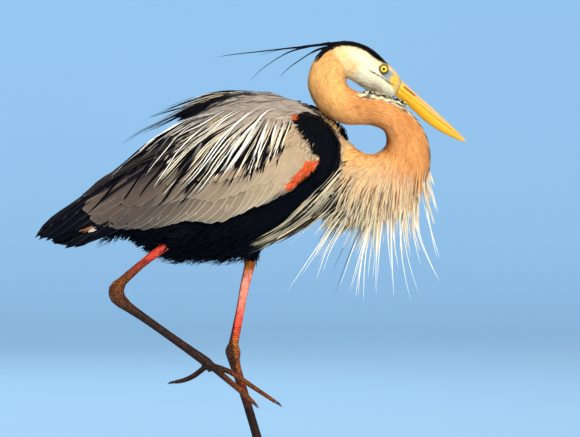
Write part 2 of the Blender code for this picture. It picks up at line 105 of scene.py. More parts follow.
# --- where things lie in the side view: x, z in millimetres -------------------------------------------
# The lie of the coat: a place, and the way the feathers point there.
LIE = [
    (274, 515, 0.05, -1), (269, 468, 0.05, -1), (246, 491, -0.1, -1), (230, 515, -0.3, -1),
    (222, 453, -0.05, -1), (199, 491, -0.6, -0.8), (184, 453, -0.3, -0.95), (168, 499, -0.9, -0.45),
    (153, 460, -0.6, -0.8), (145, 491, -0.85, -0.5), (122, 453, -0.75, -0.66), (145, 530, -0.4, -0.9),
    (106, 577, -0.9, -0.45), (60, 587, -1, -0.1), (-2, 592, -1, -0.15), (-49, 577, -0.95, -0.35),
    (44, 515, -0.6, -0.8), (13, 468, -0.65, -0.75), (-49, 453, -0.7, -0.7), (-111, 437, -0.75, -0.65),
    (-188, 437, -0.8, -0.6), (-266, 414, -0.9, -0.45), (-157, 515, -0.85, -0.5), (-80, 546, -0.85, -0.5),
    (-219, 468, -0.87, -0.5), (129, 515, -0.5, -0.85), (91, 553, -0.5, -0.85), (122, 530, -0.3, -0.95),
    (114, 484, -0.7, -0.7), (75, 414, -0.85, -0.5), (-2, 383, -0.95, -0.3), (-80, 367, -1, -0.1),
    (-142, 367, -0.9, -0.4), (-204, 394, -0.9, -0.3),
]
# The neck's outline, back edge and front edge, from the breast up to the head.
NECK_EDGES = [
    ((146, 527), (153, 423)), ((177, 508), (190, 426)), ((196, 511), (238, 437)), ((207, 521), (272, 468)),
    ((208, 532), (277, 507)), ((205, 544), (270, 539)), ((196, 549), (252, 567)), ((181, 553), (226, 589)),
    ((164, 553), (196, 599)), ((145, 553), (170, 604)), ((122, 563), (156, 608)), ((101, 580), (149, 614)),
    ((87, 608), (146, 621)), ((88, 636), (148, 626)), ((100, 659), (152, 628)), ((122, 675), (156, 624)),
]
# Outlines of the markings, of the bare skin and of painted shade.
CROWN = [
    (213, 645), (201, 649), (193, 652.5), (184, 659), (176, 665.5), (167, 670), (159, 672.5), (148, 674),
    (137, 674.5), (128, 673), (120, 671), (113, 667.5), (106, 662.5), (100, 656.5), (92, 659), (97, 671),
    (104, 682), (120, 691), (150, 694), (168, 692), (184, 681), (199, 664), (214, 650),
]
FACE = [
    (228, 618), (214, 636), (196, 650), (176, 664), (158, 672), (142, 670), (152, 656), (166, 648),
    (160, 636), (156, 630), (170, 618), (190, 604), (216, 594), (232, 598),
]
THROAT = [(168, 616), (190, 622), (202, 612), (204, 598), (176, 600), (166, 606)]
# An olive-brown band along the underside of the chin: painted shade.
CHIN_SHADE = [(151, 629), (162, 625.5), (177.5, 618), (195, 607), (184, 604), (168, 612), (152.7, 622)]
LORES = [
    (204, 640), (212, 638), (219, 632), (229, 626), (240, 618), (240, 592), (229, 594), (221, 603),
    (216, 611), (208, 621), (199, 629),
]
YELLOW_SKIN = [
    (216, 629), (222, 631), (230, 625), (242, 618), (242, 590), (227, 593), (218, 603), (212, 613),
    (210, 621),
]
# The inner edge of the neck's loop, darkened as painted shade.
NECK_FOLD_SHADE = [(188, 554), (204, 548), (213, 538), (216, 525), (212, 508), (200, 512), (206, 530), (200, 542)]
FAR_SLIVER = [
    (60, 594), (74, 588), (100, 577), (123, 557), (139, 536), (150, 513), (190, 508), (190, 620), (60, 620)
]
MANTLE = [
    (-72, 604), (-10, 612), (75, 604), (120, 576), (146, 545), (176, 526), (176, 450), (134, 462),
    (137, 500), (133, 528), (112, 555), (83, 571), (60, 564), (-72, 564),
]
SHOULDER_PATCH = [
    (70, 565), (84, 571), (98, 570), (111, 562), (121, 551), (129, 539), (133, 525), (136, 511), (132, 499),
    (126, 487), (119, 474), (100, 456), (75, 437), (57, 429), (60, 446), (67, 462), (97, 485), (103, 499),
    (92, 507), (88, 516), (80, 526), (70, 540), (67, 553),
]
RUST_PATCH = [(101, 497), (84, 492), (68, 477), (50, 455), (54, 450), (73, 465), (94, 483)]
RUST_TUFT = [(62, 557), (61, 566), (64, 570), (68, 565), (67, 557)]
# The lower edge of the folded wing, from its front to its tip.
WING_FOOT = [
    (44, 446), (26, 431), (-10, 426), (-33, 414), (-57, 405), (-72, 403), (-98, 408), (-126, 405),
    (-157, 398), (-188, 398), (-215, 399), (-233, 402.5), (-250, 410), (-259, 421),
]
# The upper edge of the folded wing, from the back to its tip.
WING_TOP = [
    (-60, 586), (-86, 570), (-142, 531), (-176, 505), (-205, 484), (-235, 459), (-270, 433), (-309, 404),
    (-333, 381),
]
# Single long feathers of the folded wing, each as its root and its tip.
TERTIALS = [
    ((-120, 494), (-250, 413)), ((-118, 504), (-257, 418)), ((-112, 514), (-266, 425)),
    ((-106, 522), (-270, 433)), ((-98, 530), (-262, 441)), ((-92, 537), (-252, 447)),
    ((-86, 543), (-238, 455)),
]
PRIMARIES = [
    ((-190, 484), (-336, 377)), ((-186, 477), (-330, 375)), ((-182, 468), (-319, 373.5)),
    ((-178, 459), (-307, 372)), ((-174, 449), (-305, 367)), ((-170, 439), (-291, 366)),
    ((-166, 431), (-289, 362.5)), ((-160, 424), (-275, 364)), ((-154, 416), (-256, 372)),
]
# The head plumes, each from its root: x, y, z.
CREST = [
    [
        (148, 3, 681), (132, 3, 680), (110, 4, 677.5), (67, 6, 673.5), (13, 8, 667.3), (-33, 9, 662.3),
        (-57.5, 10, 658),
    ],
    [(125, -3, 681), (95, -5, 675.5), (44, -9, 669), (22, -11, 663.4), (7, -12, 659.5)],
    [
        (121, -8, 680), (94.5, -11, 674.5), (63.6, -15, 667), (44, -17, 658), (28.7, -19, 648.2),
        (13, -20, 636.6), (-6, -22, 617.2),
    ],
    [(122, 9, 676), (102, 12, 670.5), (88.8, 15, 663.7), (59.7, 20, 644.3), (41.2, 23, 627)],
]
# Long scapular plumes, from the rearmost and longest to the short ones behind the shoulder.
SCAPULAR_LINES = [
    [(-46, 572), (-80, 560), (-111, 546), (-139, 533), (-170, 512), (-196, 487), (-216, 463)],
    [(-30, 572), (-67, 560), (-92, 542), (-119, 527), (-139, 512), (-157, 499), (-172, 488)],
    [(-10, 575), (-38, 563), (-67, 541), (-91, 525), (-122, 504), (-142, 487), (-160, 471)],
    [(-2, 572), (-29, 553), (-53, 541), (-80, 525), (-100, 504), (-123, 480), (-150, 451)],
    [(10, 571), (-2, 556), (-29, 535), (-49, 515), (-64, 494), (-77, 476), (-92, 460)],
    [(16, 569), (0, 552), (-18, 536), (-38, 512), (-53, 494), (-62, 478), (-77, 460)],
    [(24, 568), (10, 549), (-7, 525), (-16, 513), (-23, 501), (-32, 488), (-43, 474)],
    [(33, 564), (28, 547), (22, 530), (15, 516), (9, 504), (3, 491), (-1, 476)],
    [(47, 560), (43, 545), (39, 532), (36, 524), (33, 516), (30, 509), (28, 502)],
    [(59, 563), (57, 553), (54, 545), (51, 537), (48, 530), (46, 522), (44, 514)],
]
# The black streaks along the top of the back.
BACK_BAND = [
    (-106, 573), (-80, 587), (-46, 594), (-18, 597), (4, 595), (-11, 588), (-39, 581.5), (-64, 574),
    (-88, 566),
]
# The scapular plumes that show most, white ones and then dark ones.
WHITE_SCAPULARS = [
    [
        (-70, 562), (-97, 554), (-131, 541), (-154, 528), (-173, 511), (-189, 494), (-204.5, 476.5),
        (-216, 461.5),
    ],
    [(-72, 562), (-97, 551), (-122, 535), (-144, 519), (-157, 506)],
    [(-66, 557), (-90, 544), (-109, 530), (-126, 512), (-144, 491), (-159.5, 471)],
    [(-62, 552), (-88, 531), (-111, 507), (-126, 485), (-140, 467), (-149.6, 451.5)],
    [(-22, 548), (-50, 515), (-67.5, 492), (-81, 475), (-95, 459)],
    [(-16, 532), (-36, 506), (-50, 487), (-67.5, 465), (-80, 449)],
    [(12, 556), (0, 537), (-13, 516), (-28, 494), (-42, 475)],
    [(26, 558), (18, 540), (9, 520), (1, 500), (-8, 480)],
    [(-10, 572), (-37, 559.5), (-51, 547.6), (-70.5, 530), (-86, 518.5), (-99, 507)],
    [(15, 573.5), (-6, 563), (-20, 552), (-35, 538), (-47, 526), (-58.6, 511), (-70.5, 495), (-80, 478)],
    [(36, 572), (21, 567), (9, 553), (-1, 544), (-14, 530), (-24, 516), (-35, 495), (-43, 480)],
    [(-41, 569), (-60.5, 557), (-80, 545.6), (-105, 534), (-122, 524)],
    [(-53, 564), (-76, 559.5), (-99, 547), (-118.6, 536), (-134, 524)],
    [(38, 549.5), (32.5, 532), (29.6, 518.5)], [(21, 544), (17, 528.5), (11, 507), (9, 495)],
]
DARK_SCAPULARS = [
    [(0, 591), (-30, 591), (-57, 590.5), (-88, 581), (-111, 573)],
    [(-8, 586), (-36, 586), (-60, 583), (-92, 573), (-118, 564)],
    [(-30, 582), (-50, 579.5), (-66, 576.6), (-95, 566), (-116, 557)],
    [(-118, 535), (-134, 514.6), (-166.6, 472.7), (-188, 443), (-210, 417), (-225.5, 401.5)],
    [(-140, 518), (-157, 502), (-180.6, 483.6), (-202, 463.5), (-224, 438.7), (-241, 423), (-252, 414)],
    [(-105, 525), (-118.6, 507), (-137, 480.5), (-152.7, 463.5), (-171, 440)],
    [(-75, 520), (-87.6, 499), (-97.5, 483.6), (-113, 463.5), (-131, 439), (-143, 428)],
    [(-60, 500), (-75, 479), (-89, 462), (-102, 444)], [(6, 512), (1, 499), (-4, 485), (-9.5, 471)],
    [(-30, 518), (-40, 500), (-47, 484), (-50, 474)], [(28, 515), (21, 500), (15, 486)],
]
# Loose plumes of the breast, the flank and the back, each from its root.
BREAST_LINES = [
    [(266, 490), (263, 462), (289, 352), (305, 327)], [(265, 486), (274, 460), (283, 429), (288, 408)],
    [(254, 482), (250, 447), (256, 383), (278, 326), (289, 304)],
    [(250, 485), (247, 447), (252, 383), (274, 316)],
    [(232, 478), (229, 435), (235, 361), (244, 316), (255, 277)],
    [(222, 480), (217, 439), (218, 360), (222, 276)], [(221, 478), (214, 439), (216, 375), (222, 326)],
    [(215, 470), (205, 437), (199, 389), (196, 284)], [(209, 472), (197, 430), (187, 344), (184, 282)],
    [(203, 474), (189, 430), (174, 344), (170, 273)], [(205, 468), (188, 430), (171, 344), (162, 273)],
    [(210, 470), (194, 430), (173, 374), (146, 279)], [(205, 478), (188, 440), (157, 374), (117, 277)],
    [(196, 470), (178, 437), (154, 389), (115, 312)], [(190, 472), (170, 436), (122, 366), (92, 273)],
    [(180, 470), (160, 432), (122, 366), (91, 308)], [(176, 472), (155, 430), (119, 375), (91, 341)],
    [(178, 474), (155, 437), (119, 386), (61, 294)],
    [(166, 470), (140, 436), (97, 400), (60, 367), (44, 352)],
    [(244, 484), (238, 447), (233, 391), (230, 356)],
]
FLANK_LINES = [
    [(158, 478), (128, 440), (96, 404), (50, 378), (4, 361)],
    [(152, 488), (122, 456), (88, 420), (34, 384), (-30, 357)],
    [(146, 494), (112, 462), (82, 432), (42, 398), (-4, 372)],
]
BACK_LINES = [
    [(10, 602), (-40, 603), (-80, 598), (-108, 590), (-142, 576)],
    [(0, 603), (-50, 601), (-100, 586), (-142, 564)], [(-10, 602), (-60, 597), (-105, 580), (-150, 556)],
    [(-20, 600), (-80, 588), (-120, 570), (-160, 545)],
]
LONE_PLUMES = [
    [(-60, 592), (-100, 576), (-142, 557), (-176, 540), (-212, 516)],
    [(-50, 596), (-94, 584), (-130, 574), (-172, 562)], [(-60, 590), (-104, 570), (-142, 552), (-168, 540)],
    [(-50, 600), (-90, 592), (-130, 578), (-150, 568)],
]
DARK_TUFT = [
    [(4, 600), (-40, 596), (-80, 582), (-107, 571)], [(0, 596), (-40, 589), (-80, 577), (-110, 568)],
    [(-10, 590), (-40, 584), (-72, 575), (-98, 565)],
]
# The middle of each eyeball, its second number being the distance from the middle plane, and its radius.
EYE = 204.0, 15.4, 638.8
EYE_RADIUS = 7.7
EYE_BARE = 7.9  # feathers keep this far from an eye's middle
LID_RING = 6.7  # radius of the ring of the lid
FAR_SHOULDER = (12, 16)  # the left shoulder is held this much further forward and higher
NECK_ROWS = 60  # places along the neck at which its outline is read
NOSTRIL = (236.5, 611.0), (252.0, 598.5)
GROOVE_END = (285.0, 570.0)  # the groove before the nostril fades out here
BILL_ROOT = 233, 622
BILL_WAY = (0.725, -0.689)  # the way the bill points, in the side view

# --- how vanes and rays are set out, in metres --------------------------------------------------------
BAKE_PATCH = 0.0026  # side of a vane's own place in the bake map
BARB_MAP = 10  # units of the barb map in a metre
FLANK_RAY = 0.4  # rays towards a flank start this far from the middle plane
HEAD_RAY = 0.3  # rays towards the head start this far from it


# --- the studio, in metres ----------------------------------------------------------------------------
# Distance and height of the paper, which is level for 7.5 m and then curves up.
PAPER = (
    (0.0, 0.0), (4.0, 0.0), (7.5, 0.0), (8.6, 0.08), (9.6, 0.35), (10.5, 0.9), (11.2, 1.8), (11.6, 3.2),
    (11.7, 5.0),
)
# Name, kind, place, size, watts and colour of each lamp; all of them face LAMP_AIM.
LAMPS = (
    ("key", "AREA", (1.0, -3.3, 3.2), 1.2, 104, (1.0, 0.84, 0.62)),
    ("fill", "AREA", (-3.0, -3.4, 1.0), 3.0, 18, (1.0, 0.93, 0.84)),
    ("back", "AREA", (-1.2, 3.0, 3.2), 2.0, 40, (1.0, 1.0, 1.0)),
    ("low", "SPOT", (1.6, -3.6, 0.3), 0.35, 260, (1.0, 0.84, 0.62)),
)
LAMP_AIM = 0, 0, 0.42
DAYLIGHT_WAY = -0.14, 0.76, -0.63
VIEW_WIDTH = 0.899  # what the camera sees across at the bird
VIEW_AHEAD = 0.0597  # how far its middle lies in front of the middle of the part
VIEW_HEIGHT = 0.408


# --- small tools -------------------------------------------------------------------------------------
def linear(code):
    """An sRGB hex colour as linear red, green and blue."""
    parts = [int(code[i : i + 2], 16) / 255 for i in (0, 2, 4)]
    return tuple(v / 12.92 if v <= 0.04045 else ((v + 0.055) / 1.055) ** 2.4 for v in parts)


def paint(label, code, description):
    """A colour property with an sRGB hex default."""
    return FloatVectorProperty(
        name=label, description=description, subtype="COLOR", size=3, min=0, max=1, default=linear(code)
    )


def length(label, value, description, low=0.0, high=0.5):
    """A length property in metres, from a default in millimetres."""
    return FloatProperty(
        name=label, description=description, default=value * MM, min=low, max=high, unit="LENGTH",
        precision=5,
    )


def add(tree, kind, links=None, **settings):
    """Adds a shader node and sets its properties.

    links says where its inputs come from: a node's first output, a socket or a value.
    """
    node = tree.nodes.new("ShaderNode" + kind)
    for key, value in settings.items():
        setattr(node, key, value)
    for key, value in (links or {}).items():
        if isinstance(value, bpy.types.Node):
            value = value.outputs[0]
        if isinstance(value, bpy.types.NodeSocket):
            tree.links.new(value, node.inputs[key])
        else:
            node.inputs[key].default_value = value
    return node


def tidy(vectors):
    """Unit vectors."""
    return vectors / np.maximum(np.linalg.norm(vectors, axis=-1, keepdims=True), 1e-9)


def mix(first, second, share):
    """Blends two colours, or arrays of them, by a share of the second."""
    share = np.asarray(share, float)[..., None]
    return np.asarray(first) * (1 - share) + np.asarray(second) * share


def soft_step(low, high, values):
    """0 below low, 1 above high and smooth between."""
    t = np.clip((np.asarray(values, float) - low) / (high - low), 0, 1)
    return t * t * (3 - 2 * t)


def side_view(points):
    """x and z of places, in millimetres."""
    return points[:, 0] / MM, points[:, 2] / MM


def resample(line, count):
    """A broken line as a smooth one with this many evenly spaced points."""
    pts = np.array(line, float)
    ghost = np.vstack([2 * pts[0] - pts[1], pts, 2 * pts[-1] - pts[-2]])
    out = []
    for i in range(1, len(ghost) - 2):
        a, b, c, d = ghost[i - 1 : i + 3]
        bend, twist = 2 * a - 5 * b + 4 * c - d, 3 * b - a - 3 * c + d
        for t in np.linspace(0, 1, 12, endpoint=False):
            out.append(0.5 * (2 * b + (c - a) * t + bend * t**2 + twist * t**3))
    out = np.array(out + [pts[-1]])
    reach = np.concatenate([[0], np.cumsum(np.linalg.norm(np.diff(out, axis=0), axis=1))])
    spots = np.linspace(0, reach[-1], count)
    return np.stack([np.interp(spots, reach, out[:, k]) for k in range(out.shape[1])], axis=1)


def between(family, place):
    """Lines between those of a family, at places from 0 to one less than their number."""
    low = np.minimum(place.astype(int), len(family) - 2)
    share = (place - low)[:, None, None]
    return family[low] * (1 - share) + family[low + 1] * share


def cut(lines, start, end):
    """The part of each line between two shares of its run; past its end a line goes straight on."""
    rows = lines.shape[1]
    spots = start[:, None] + (end - start)[:, None] * np.linspace(0, 1, rows)
    at = np.clip(spots, 0, 1) * (rows - 1)
    low = np.minimum(at.astype(int), rows - 2)
    share = (at - low)[..., None]
    pick = np.arange(len(lines))[:, None]
    inside = lines[pick, low] * (1 - share) + lines[pick, low + 1] * share
    ahead = (lines[:, -1] - lines[:, -2])[:, None] * (rows - 1)
    return inside + ahead * np.clip(spots - 1, 0, None)[..., None]


def patch(outline, x, z, soft):
    """How far inside an outline in the side view a place lies, from 0 to 1 across a soft edge."""
    pts = np.array(outline, float)
    inside = np.zeros(len(x), bool)
    gap = np.full(len(x), 1e9)
    for (ax, az), (bx, bz) in zip(pts, np.roll(pts, -1, 0)):
        run, rise = bx - ax, bz - az
        crosses = (az > z) != (bz > z)
        inside ^= crosses & (x < run * (z - az) / (rise + 1e-12) + ax)
        share = np.clip(((x - ax) * run + (z - az) * rise) / (run**2 + rise**2), 0, 1)
        gap = np.minimum(gap, np.hypot(x - ax - share * run, z - az - share * rise))
    return soft_step(-soft, soft, np.where(inside, gap, -gap))


def ripple(points, size, seed=0):
    """Smooth noise from -1 to 1 with about this wavelength, as a sum of a few waves in odd directions."""
    rng = np.random.default_rng(100 + seed)
    total = np.zeros(len(points))
    for _ in range(7):
        way = tidy(rng.normal(size=3)) * rng.uniform(0.7, 1.6) * 2 * math.pi / size
        total += np.sin(points @ way + rng.uniform(0, 7))
    return total / 3.2


def read(items, name, width, kind=np.float32):
    """A mesh layer as an array."""
    flat = np.empty(len(items) * width, kind)
    items.foreach_get(name, flat)
    return flat.reshape(-1, width) if width > 1 else flat


def paint_vertices(mesh, tint, alpha):
    """Stores a colour and a value for each vertex."""
    layer = mesh.color_attributes.new("Tint", "FLOAT_COLOR", "POINT")
    values = np.concatenate([tint, alpha[:, None]], axis=1)
    layer.data.foreach_set("color", values.astype(np.float32).ravel())


def new_object(name, mesh, *materials):
    """A smooth-shaded object at the origin, linked to the scene."""
    obj = bpy.data.objects.new(name, mesh)
    bpy.context.scene.collection.objects.link(obj)
    for mat in materials:
        mesh.materials.append(mat)
    mesh.shade_smooth()
    return obj


def finish_piece(obj, slot, *replaced):
    """The piece moves with the root body and stands for some nodes, which it hides. slot is not used."""
    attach(obj, "root")
    if replaced:
        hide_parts(*replaced)


def merged_copy(names):
    """Copies of solid nodes in one bmesh, with their loose triangles joined."""
    bm = bmesh.new()
    for name in names:
        bm.from_mesh(frame["nodes"][name].data)
    bmesh.ops.remove_doubles(bm, verts=bm.verts[:], dist=0.00001)
    return bm


def remeshed(bm, name, voxel, factor, rounds):
    """A bmesh as an even, smooth, closed mesh."""
    mesh = bpy.data.meshes.new(name)
    bm.to_mesh(mesh)
    bm.free()
    obj = new_object(name, mesh)
    grid = obj.modifiers.new("Even", "REMESH")
    grid.mode = "VOXEL"
    grid.voxel_size = voxel
    relax = obj.modifiers.new("Relax", "SMOOTH")
    relax.factor = factor
    relax.iterations = rounds
    bpy.context.view_layer.update()
    made = bpy.data.meshes.new_from_object(obj.evaluated_get(bpy.context.evaluated_depsgraph_get()))
    bpy.data.objects.remove(obj)
    return made


def turn_round(bm, shape, steps):
    """Turns a shape once round the upright axis."""
    bmesh.ops.spin(
        bm,
        geom=shape,
        cent=(0, 0, 0),
        axis=(0, 0, 1),
        dvec=(0, 0, 0),
        angle=2 * math.pi,
        steps=steps,
        use_merge=True,
    )


# --- settings ----------------------------------------------------------------------------------------
class HeronSizes(PropertyGroup):
    """The sizes that change how the coat lies."""

    skin_voxel: length("Skin detail", 3.0, "Grid size of the skin under the feathers", 0.001)
    leg_voxel: length("Leg detail", 1.3, "Grid size of the bare legs and toes", 0.0005)
    body_depth: length("Body coat depth", 4.5, "How far the skin lies inside the feathers of the body")
    wing_depth: length("Wing coat depth", 3.2, "How far the skin lies inside the feathers of the wings")
    neck_depth: length("Neck coat depth", 1.5, "How far the skin lies inside the feathers of the neck")
    head_depth: length("Head coat depth", 1.2, "How far the skin lies inside the feathers of the head")
    head_feather: length("Head feather", 6.5, "Length of a feather on the crown and cheek")
    neck_feather: length("Neck feather", 15.0, "Length of a feather half way down the neck")
    belly_feather: length("Belly feather", 24.0, "Length of a feather on the belly and thighs")
    mantle_feather: length("Mantle feather", 30.0, "Length of a feather between the wings")
    covert: length("Wing covert", 24.0, "Length of a small covert feather on the wing")
    density: FloatProperty(
        name="Feather density", description="Share of the full number of small feathers", default=1.0,
        min=0.05, max=1.5,
    )
    seed: IntProperty(
        name="Seed", description="Another number scatters the small feathers another way", default=7, min=0
    )


class HeronColours(PropertyGroup):
    """The colours of the plumage and of the bare parts."""

    buff: paint("Neck buff", "E09A5C", "Warm buff of the neck")
    buff_pale: paint("Pale buff", "FCCB7E", "Paler buff of the nape and the side of the neck")
    # Deep buff is also used as painted shade in the neck's folds and under the cheek.
    buff_deep: paint("Deep buff", "A9662F", "Darker buff in the folds of the neck")
    face: paint("Face", "FFF7D6", "White of the face and throat")
    cream: paint("Cream", "F6E4BC", "Cream of the long plumes")
    white: paint("Plume white", "F7F4EC", "White tips of the long plumes")
    mantle: paint("Mantle", "979290", "Soft grey of the back")
    covert: paint("Covert", "B19B80", "Brown grey of the wing coverts")
    slate: paint("Slate", "5E5048", "Slate of the rear wing")
    flight: paint("Flight feathers", "04060F", "Blue black of the long wing feathers")
    black: paint("Black plumage", "02050D", "Black of the crown, shoulder and belly")
    rust: paint("Rust", "D2562A", "Rust red at the edge of the wing")
    lores: paint("Lores", "8C9AA0", "Blue grey bare skin before the eye")
    skin_yellow: paint("Yellow skin", "F0C23C", "Yellow bare skin at the bill's root")
    bill: paint("Bill", "F3AE06", "Golden yellow of the bill")
    bill_ridge: paint("Bill ridge", "E3B784", "Pinkish horn along the top of the bill")
    iris: paint("Iris", "F2D21A", "Yellow of the eye")
    leg_red: paint("Leg red", "E8492F", "Coral red of the bare thigh")
    leg_pink: paint("Leg pink", "F2917C", "Lighter pink half way down the standing thigh")
    leg_orange: paint("Leg orange", "C0651C", "Orange of the heel joints")
    leg_brown: paint("Leg brown", "341A10", "Brown of the shank and toes")
    claw: paint("Claw", "2A211D", "Dark horn of the claws")
    oak: paint("Oak", "9C7448", "Oiled oak of the base")
    backdrop: paint("Backdrop", "A3D4FC", "Pale blue of the floor and backdrop")


def sizes():
    """The size settings."""
    return bpy.context.scene.heron_sizes


def colours():
    """The colour settings as arrays by name."""
    group = bpy.context.scene.heron_colours
    return {name: np.array(getattr(group, name)[:]) for name in HeronColours.__annotations__}


# --- the body under the coat -------------------------------------------------------------------------
class Body:
    """The skin as arrays, with trees that find the nearest place on it and the solid node it belongs to."""

    def __init__(self):
        self.names = sorted(n for n in frame["nodes"] if n != "stand_base")
        places, corners, owner = [], [], []
        start = 0
        for number, name in enumerate(self.names):
            mesh = frame["nodes"][name].data
            mesh.calc_loop_triangles()
            places.append(read(mesh.vertices, "co", 3))
            corners.append(read(mesh.loop_triangles, "vertices", 3, np.int32) + start)
            owner.append(np.full(len(mesh.loop_triangles), number))
            start += len(mesh.vertices)
        self.owner = np.concatenate(owner)
        self.solid = BVHTree.FromPolygons(np.concatenate(places).tolist(), np.concatenate(corners).tolist())

    def part(self, points):
        """The number of the solid node nearest to each point."""
        return self.owner[[self.solid.find_nearest(p)[2] for p in points.tolist()]]

    def level(self, reach, side):
        """How far from the middle plane the head's surface lies, on a ring this far from the eye's axis."""
        total = 0
        for turn in np.linspace(0, 2 * math.pi, 12, endpoint=False):
            x, z = EYE[0] + reach * math.cos(turn), EYE[2] + reach * math.sin(turn)
            hit = self.solid.ray_cast((x * MM, side * HEAD_RAY, z * MM), (0, -side, 0))[0]
            total += abs(hit.y) if hit else 0.015
        return total / 12

    def take_skin(self, mesh):
        """Keeps the finished skin as arrays: places, normals, bake map, areas and the node of each face."""
        mesh.calc_loop_triangles()
        self.places = read(mesh.vertices, "co", 3).astype(float)
        self.normals = read(mesh.vertex_normals, "vector", 3).astype(float)
        self.corners = read(mesh.loop_triangles, "vertices", 3, np.int32)
        loops = read(mesh.loop_triangles, "loops", 3, np.int32)
        self.uv = read(mesh.uv_layers["OFBake"].data, "uv", 2)[loops]
        self.tree = BVHTree.FromPolygons(self.places.tolist(), self.corners.tolist())
        a, b, c = (self.places[self.corners[:, k]] for k in range(3))
        self.area = np.linalg.norm(np.cross(b - a, c - a), axis=1) / 2
        self.face_part = self.part((a + b + c) / 3)

    def describe(self, hits, faces):
        """Smooth normal and bake place of points on known faces."""
        a, b, c = (self.places[self.corners[faces, k]] for k in range(3))
        ab, ac, ap = b - a, c - a, hits - a
        d00, d01, d11 = (ab * ab).sum(1), (ab * ac).sum(1), (ac * ac).sum(1)
        d20, d21 = (ap * ab).sum(1), (ap * ac).sum(1)
        base = np.maximum(d00 * d11 - d01 * d01, 1e-20)
        v, w = np.clip((d11 * d20 - d01 * d21) / base, 0, 1), np.clip((d00 * d21 - d01 * d20) / base, 0, 1)
        share = np.stack([1 - v - w, v, w], axis=1)[:, :, None]
        normal = tidy((self.normals[self.corners[faces]] * share).sum(1))
        return normal, (self.uv[faces] * share).sum(1)

    def nearest(self, points):
        """For each point: the nearest place on the skin, its normal and its bake place."""
        found = [self.tree.find_nearest(p) for p in points.reshape(-1, 3).tolist()]
        hits = np.array([f[0][:] for f in found])
        normal, uv = self.describe(hits, np.array([f[2] for f in found]))
        return hits.reshape(points.shape), normal.reshape(points.shape), uv

    def scatter(self, per_face, rng):
        """Random places with this expected number on each face: place, normal, bake place and node."""
        count = rng.poisson(per_face)
        faces = np.repeat(np.arange(len(count)), count)
        u, v = rng.random(len(faces)), rng.random(len(faces))
        over = u + v > 1
        u[over], v[over] = 1 - u[over], 1 - v[over]
        share = np.stack([1 - u - v, u, v], axis=1)[:, :, None]
        hits = (self.places[self.corners[faces]] * share).sum(1)
        normal = tidy((self.normals[self.corners[faces]] * share).sum(1))
        return hits, normal, (self.uv[faces] * share).sum(1), self.face_part[faces]

    def flank(self, lines, side):
        """Side-view lines (n, rows, 2), in millimetres, laid on one flank: places and normals."""
        places = np.zeros((*lines.shape[:2], 3))
        normals = np.zeros_like(places)
        for i, line in enumerate(lines):
            last = None
            for k, (x, z) in enumerate(line):
                hit, normal, _, _ = self.tree.ray_cast((x * MM, side * FLANK_RAY, z * MM), (0, -side, 0))
                y = side * hit.y if hit else None
                if last is not None:
                    # a feather bridges hollows: from row to row it sinks or rises by a share of the step
                    step = math.hypot(*(line[k] - line[k - 1])) * MM
                    low, high = last - 0.30 * step, last + 0.45 * step
                    y = last - 0.02 * step if y is None else min(max(y, low), high)
                elif y is None:
                    y = 0.02
                facing = Vector((0, side, 0)) if normal is None or normal.y * side < 0.15 else normal
                places[i, k] = x * MM, side * y, z * MM
                normals[i, k] = facing
                last = y
        # two rounds of smoothing along each line
        for _ in range(2):
            padded = np.concatenate([normals[:, :1], normals, normals[:, -1:]], axis=1)
            normals = tidy(padded[:, :-2] + 2 * padded[:, 1:-1] + padded[:, 2:])
            before, after = 2 * places[:, :1] - places[:, 1:2], 2 * places[:, -1:] - places[:, -2:-1]
            padded = np.concatenate([before, places, after], axis=1)
            places[:, :, 1] = ((padded[:, :-2] + 2 * padded[:, 1:-1] + padded[:, 2:]) / 4)[:, :, 1]
        return places, normals


body = Body()


def on(part, *names):
    """Which places belong to one of these solid nodes."""
    return np.isin(part, [body.names.index(n) for n in names])


def neck_rows():
    """The neck's outline as evenly spaced rows: x and z of its back edge, then of its front edge."""
    return resample([[*back, *front] for back, front in NECK_EDGES], NECK_ROWS)


def neck_place(x, z):
    """Where along the neck a side-view place lies, 0 at the breast and 1 at the head, and how far forward.

    The second value is -1 on the back edge, 0 in the middle and 1 on the front edge.
    """
    rows = neck_rows()
    middle, half = (rows[:, :2] + rows[:, 2:]) / 2, (rows[:, 2:] - rows[:, :2]) / 2
    away = np.stack([x, z], axis=1)[:, None] - middle[None]
    best = np.argmin((away**2).sum(2), axis=1)
    front = (away[np.arange(len(x)), best] * half[best]).sum(1) / (half[best] ** 2).sum(1)
    return best / (len(rows) - 1), front


def lie_of_coat(points, normals, part):
    """The way the feathers point at each place: unit vectors in the plane of the skin."""
    x, z = side_view(points)
    # the hints, each counting for less the further off it is
    hints = np.array(LIE)
    gap = (x[:, None] - hints[None, :, 0]) ** 2 + (z[:, None] - hints[None, :, 1]) ** 2 + 60
    weight = 1 / gap**1.6
    way = tidy(np.stack([weight @ hints[:, 2], np.zeros(len(x)), weight @ hints[:, 3]], axis=1))
    # down the bend of the neck
    on_neck = on(part, "neck_front", "neck_middle", "neck_upper")
    edges = neck_rows()
    middle = (edges[:, :2] + edges[:, 2:]) / 2
    tangent = tidy(-np.gradient(middle, axis=0))
    along, _ = neck_place(x, z)
    near = tangent[np.clip((along * (NECK_ROWS - 1)).astype(int), 0, NECK_ROWS - 1)]
    down_neck = np.stack([near[:, 0], np.zeros(len(x)), near[:, 1]], axis=1)
    share = np.where(on_neck, soft_step(0.2, 0.36, along), 0)[:, None]
    way = way * (1 - share) + down_neck * share
    # away from the bill on the head, upwards over the crown and a little down over the cheek
    low = soft_step(640, 600, z)[:, None]
    from_bill = np.array([-0.86, 0, 0.30]) * (1 - low) + np.array([-0.95, 0, -0.1]) * low
    way = np.where(on(part, "head")[:, None], from_bill, way)
    # flat on the skin, or across it where the two run the same way
    way = way - normals * (way * normals).sum(1, keepdims=True)
    small = np.linalg.norm(way, axis=1) < 0.15
    way[small] += np.cross(normals[small], (0, 1, 0)) * 0.3
    return tidy(way)


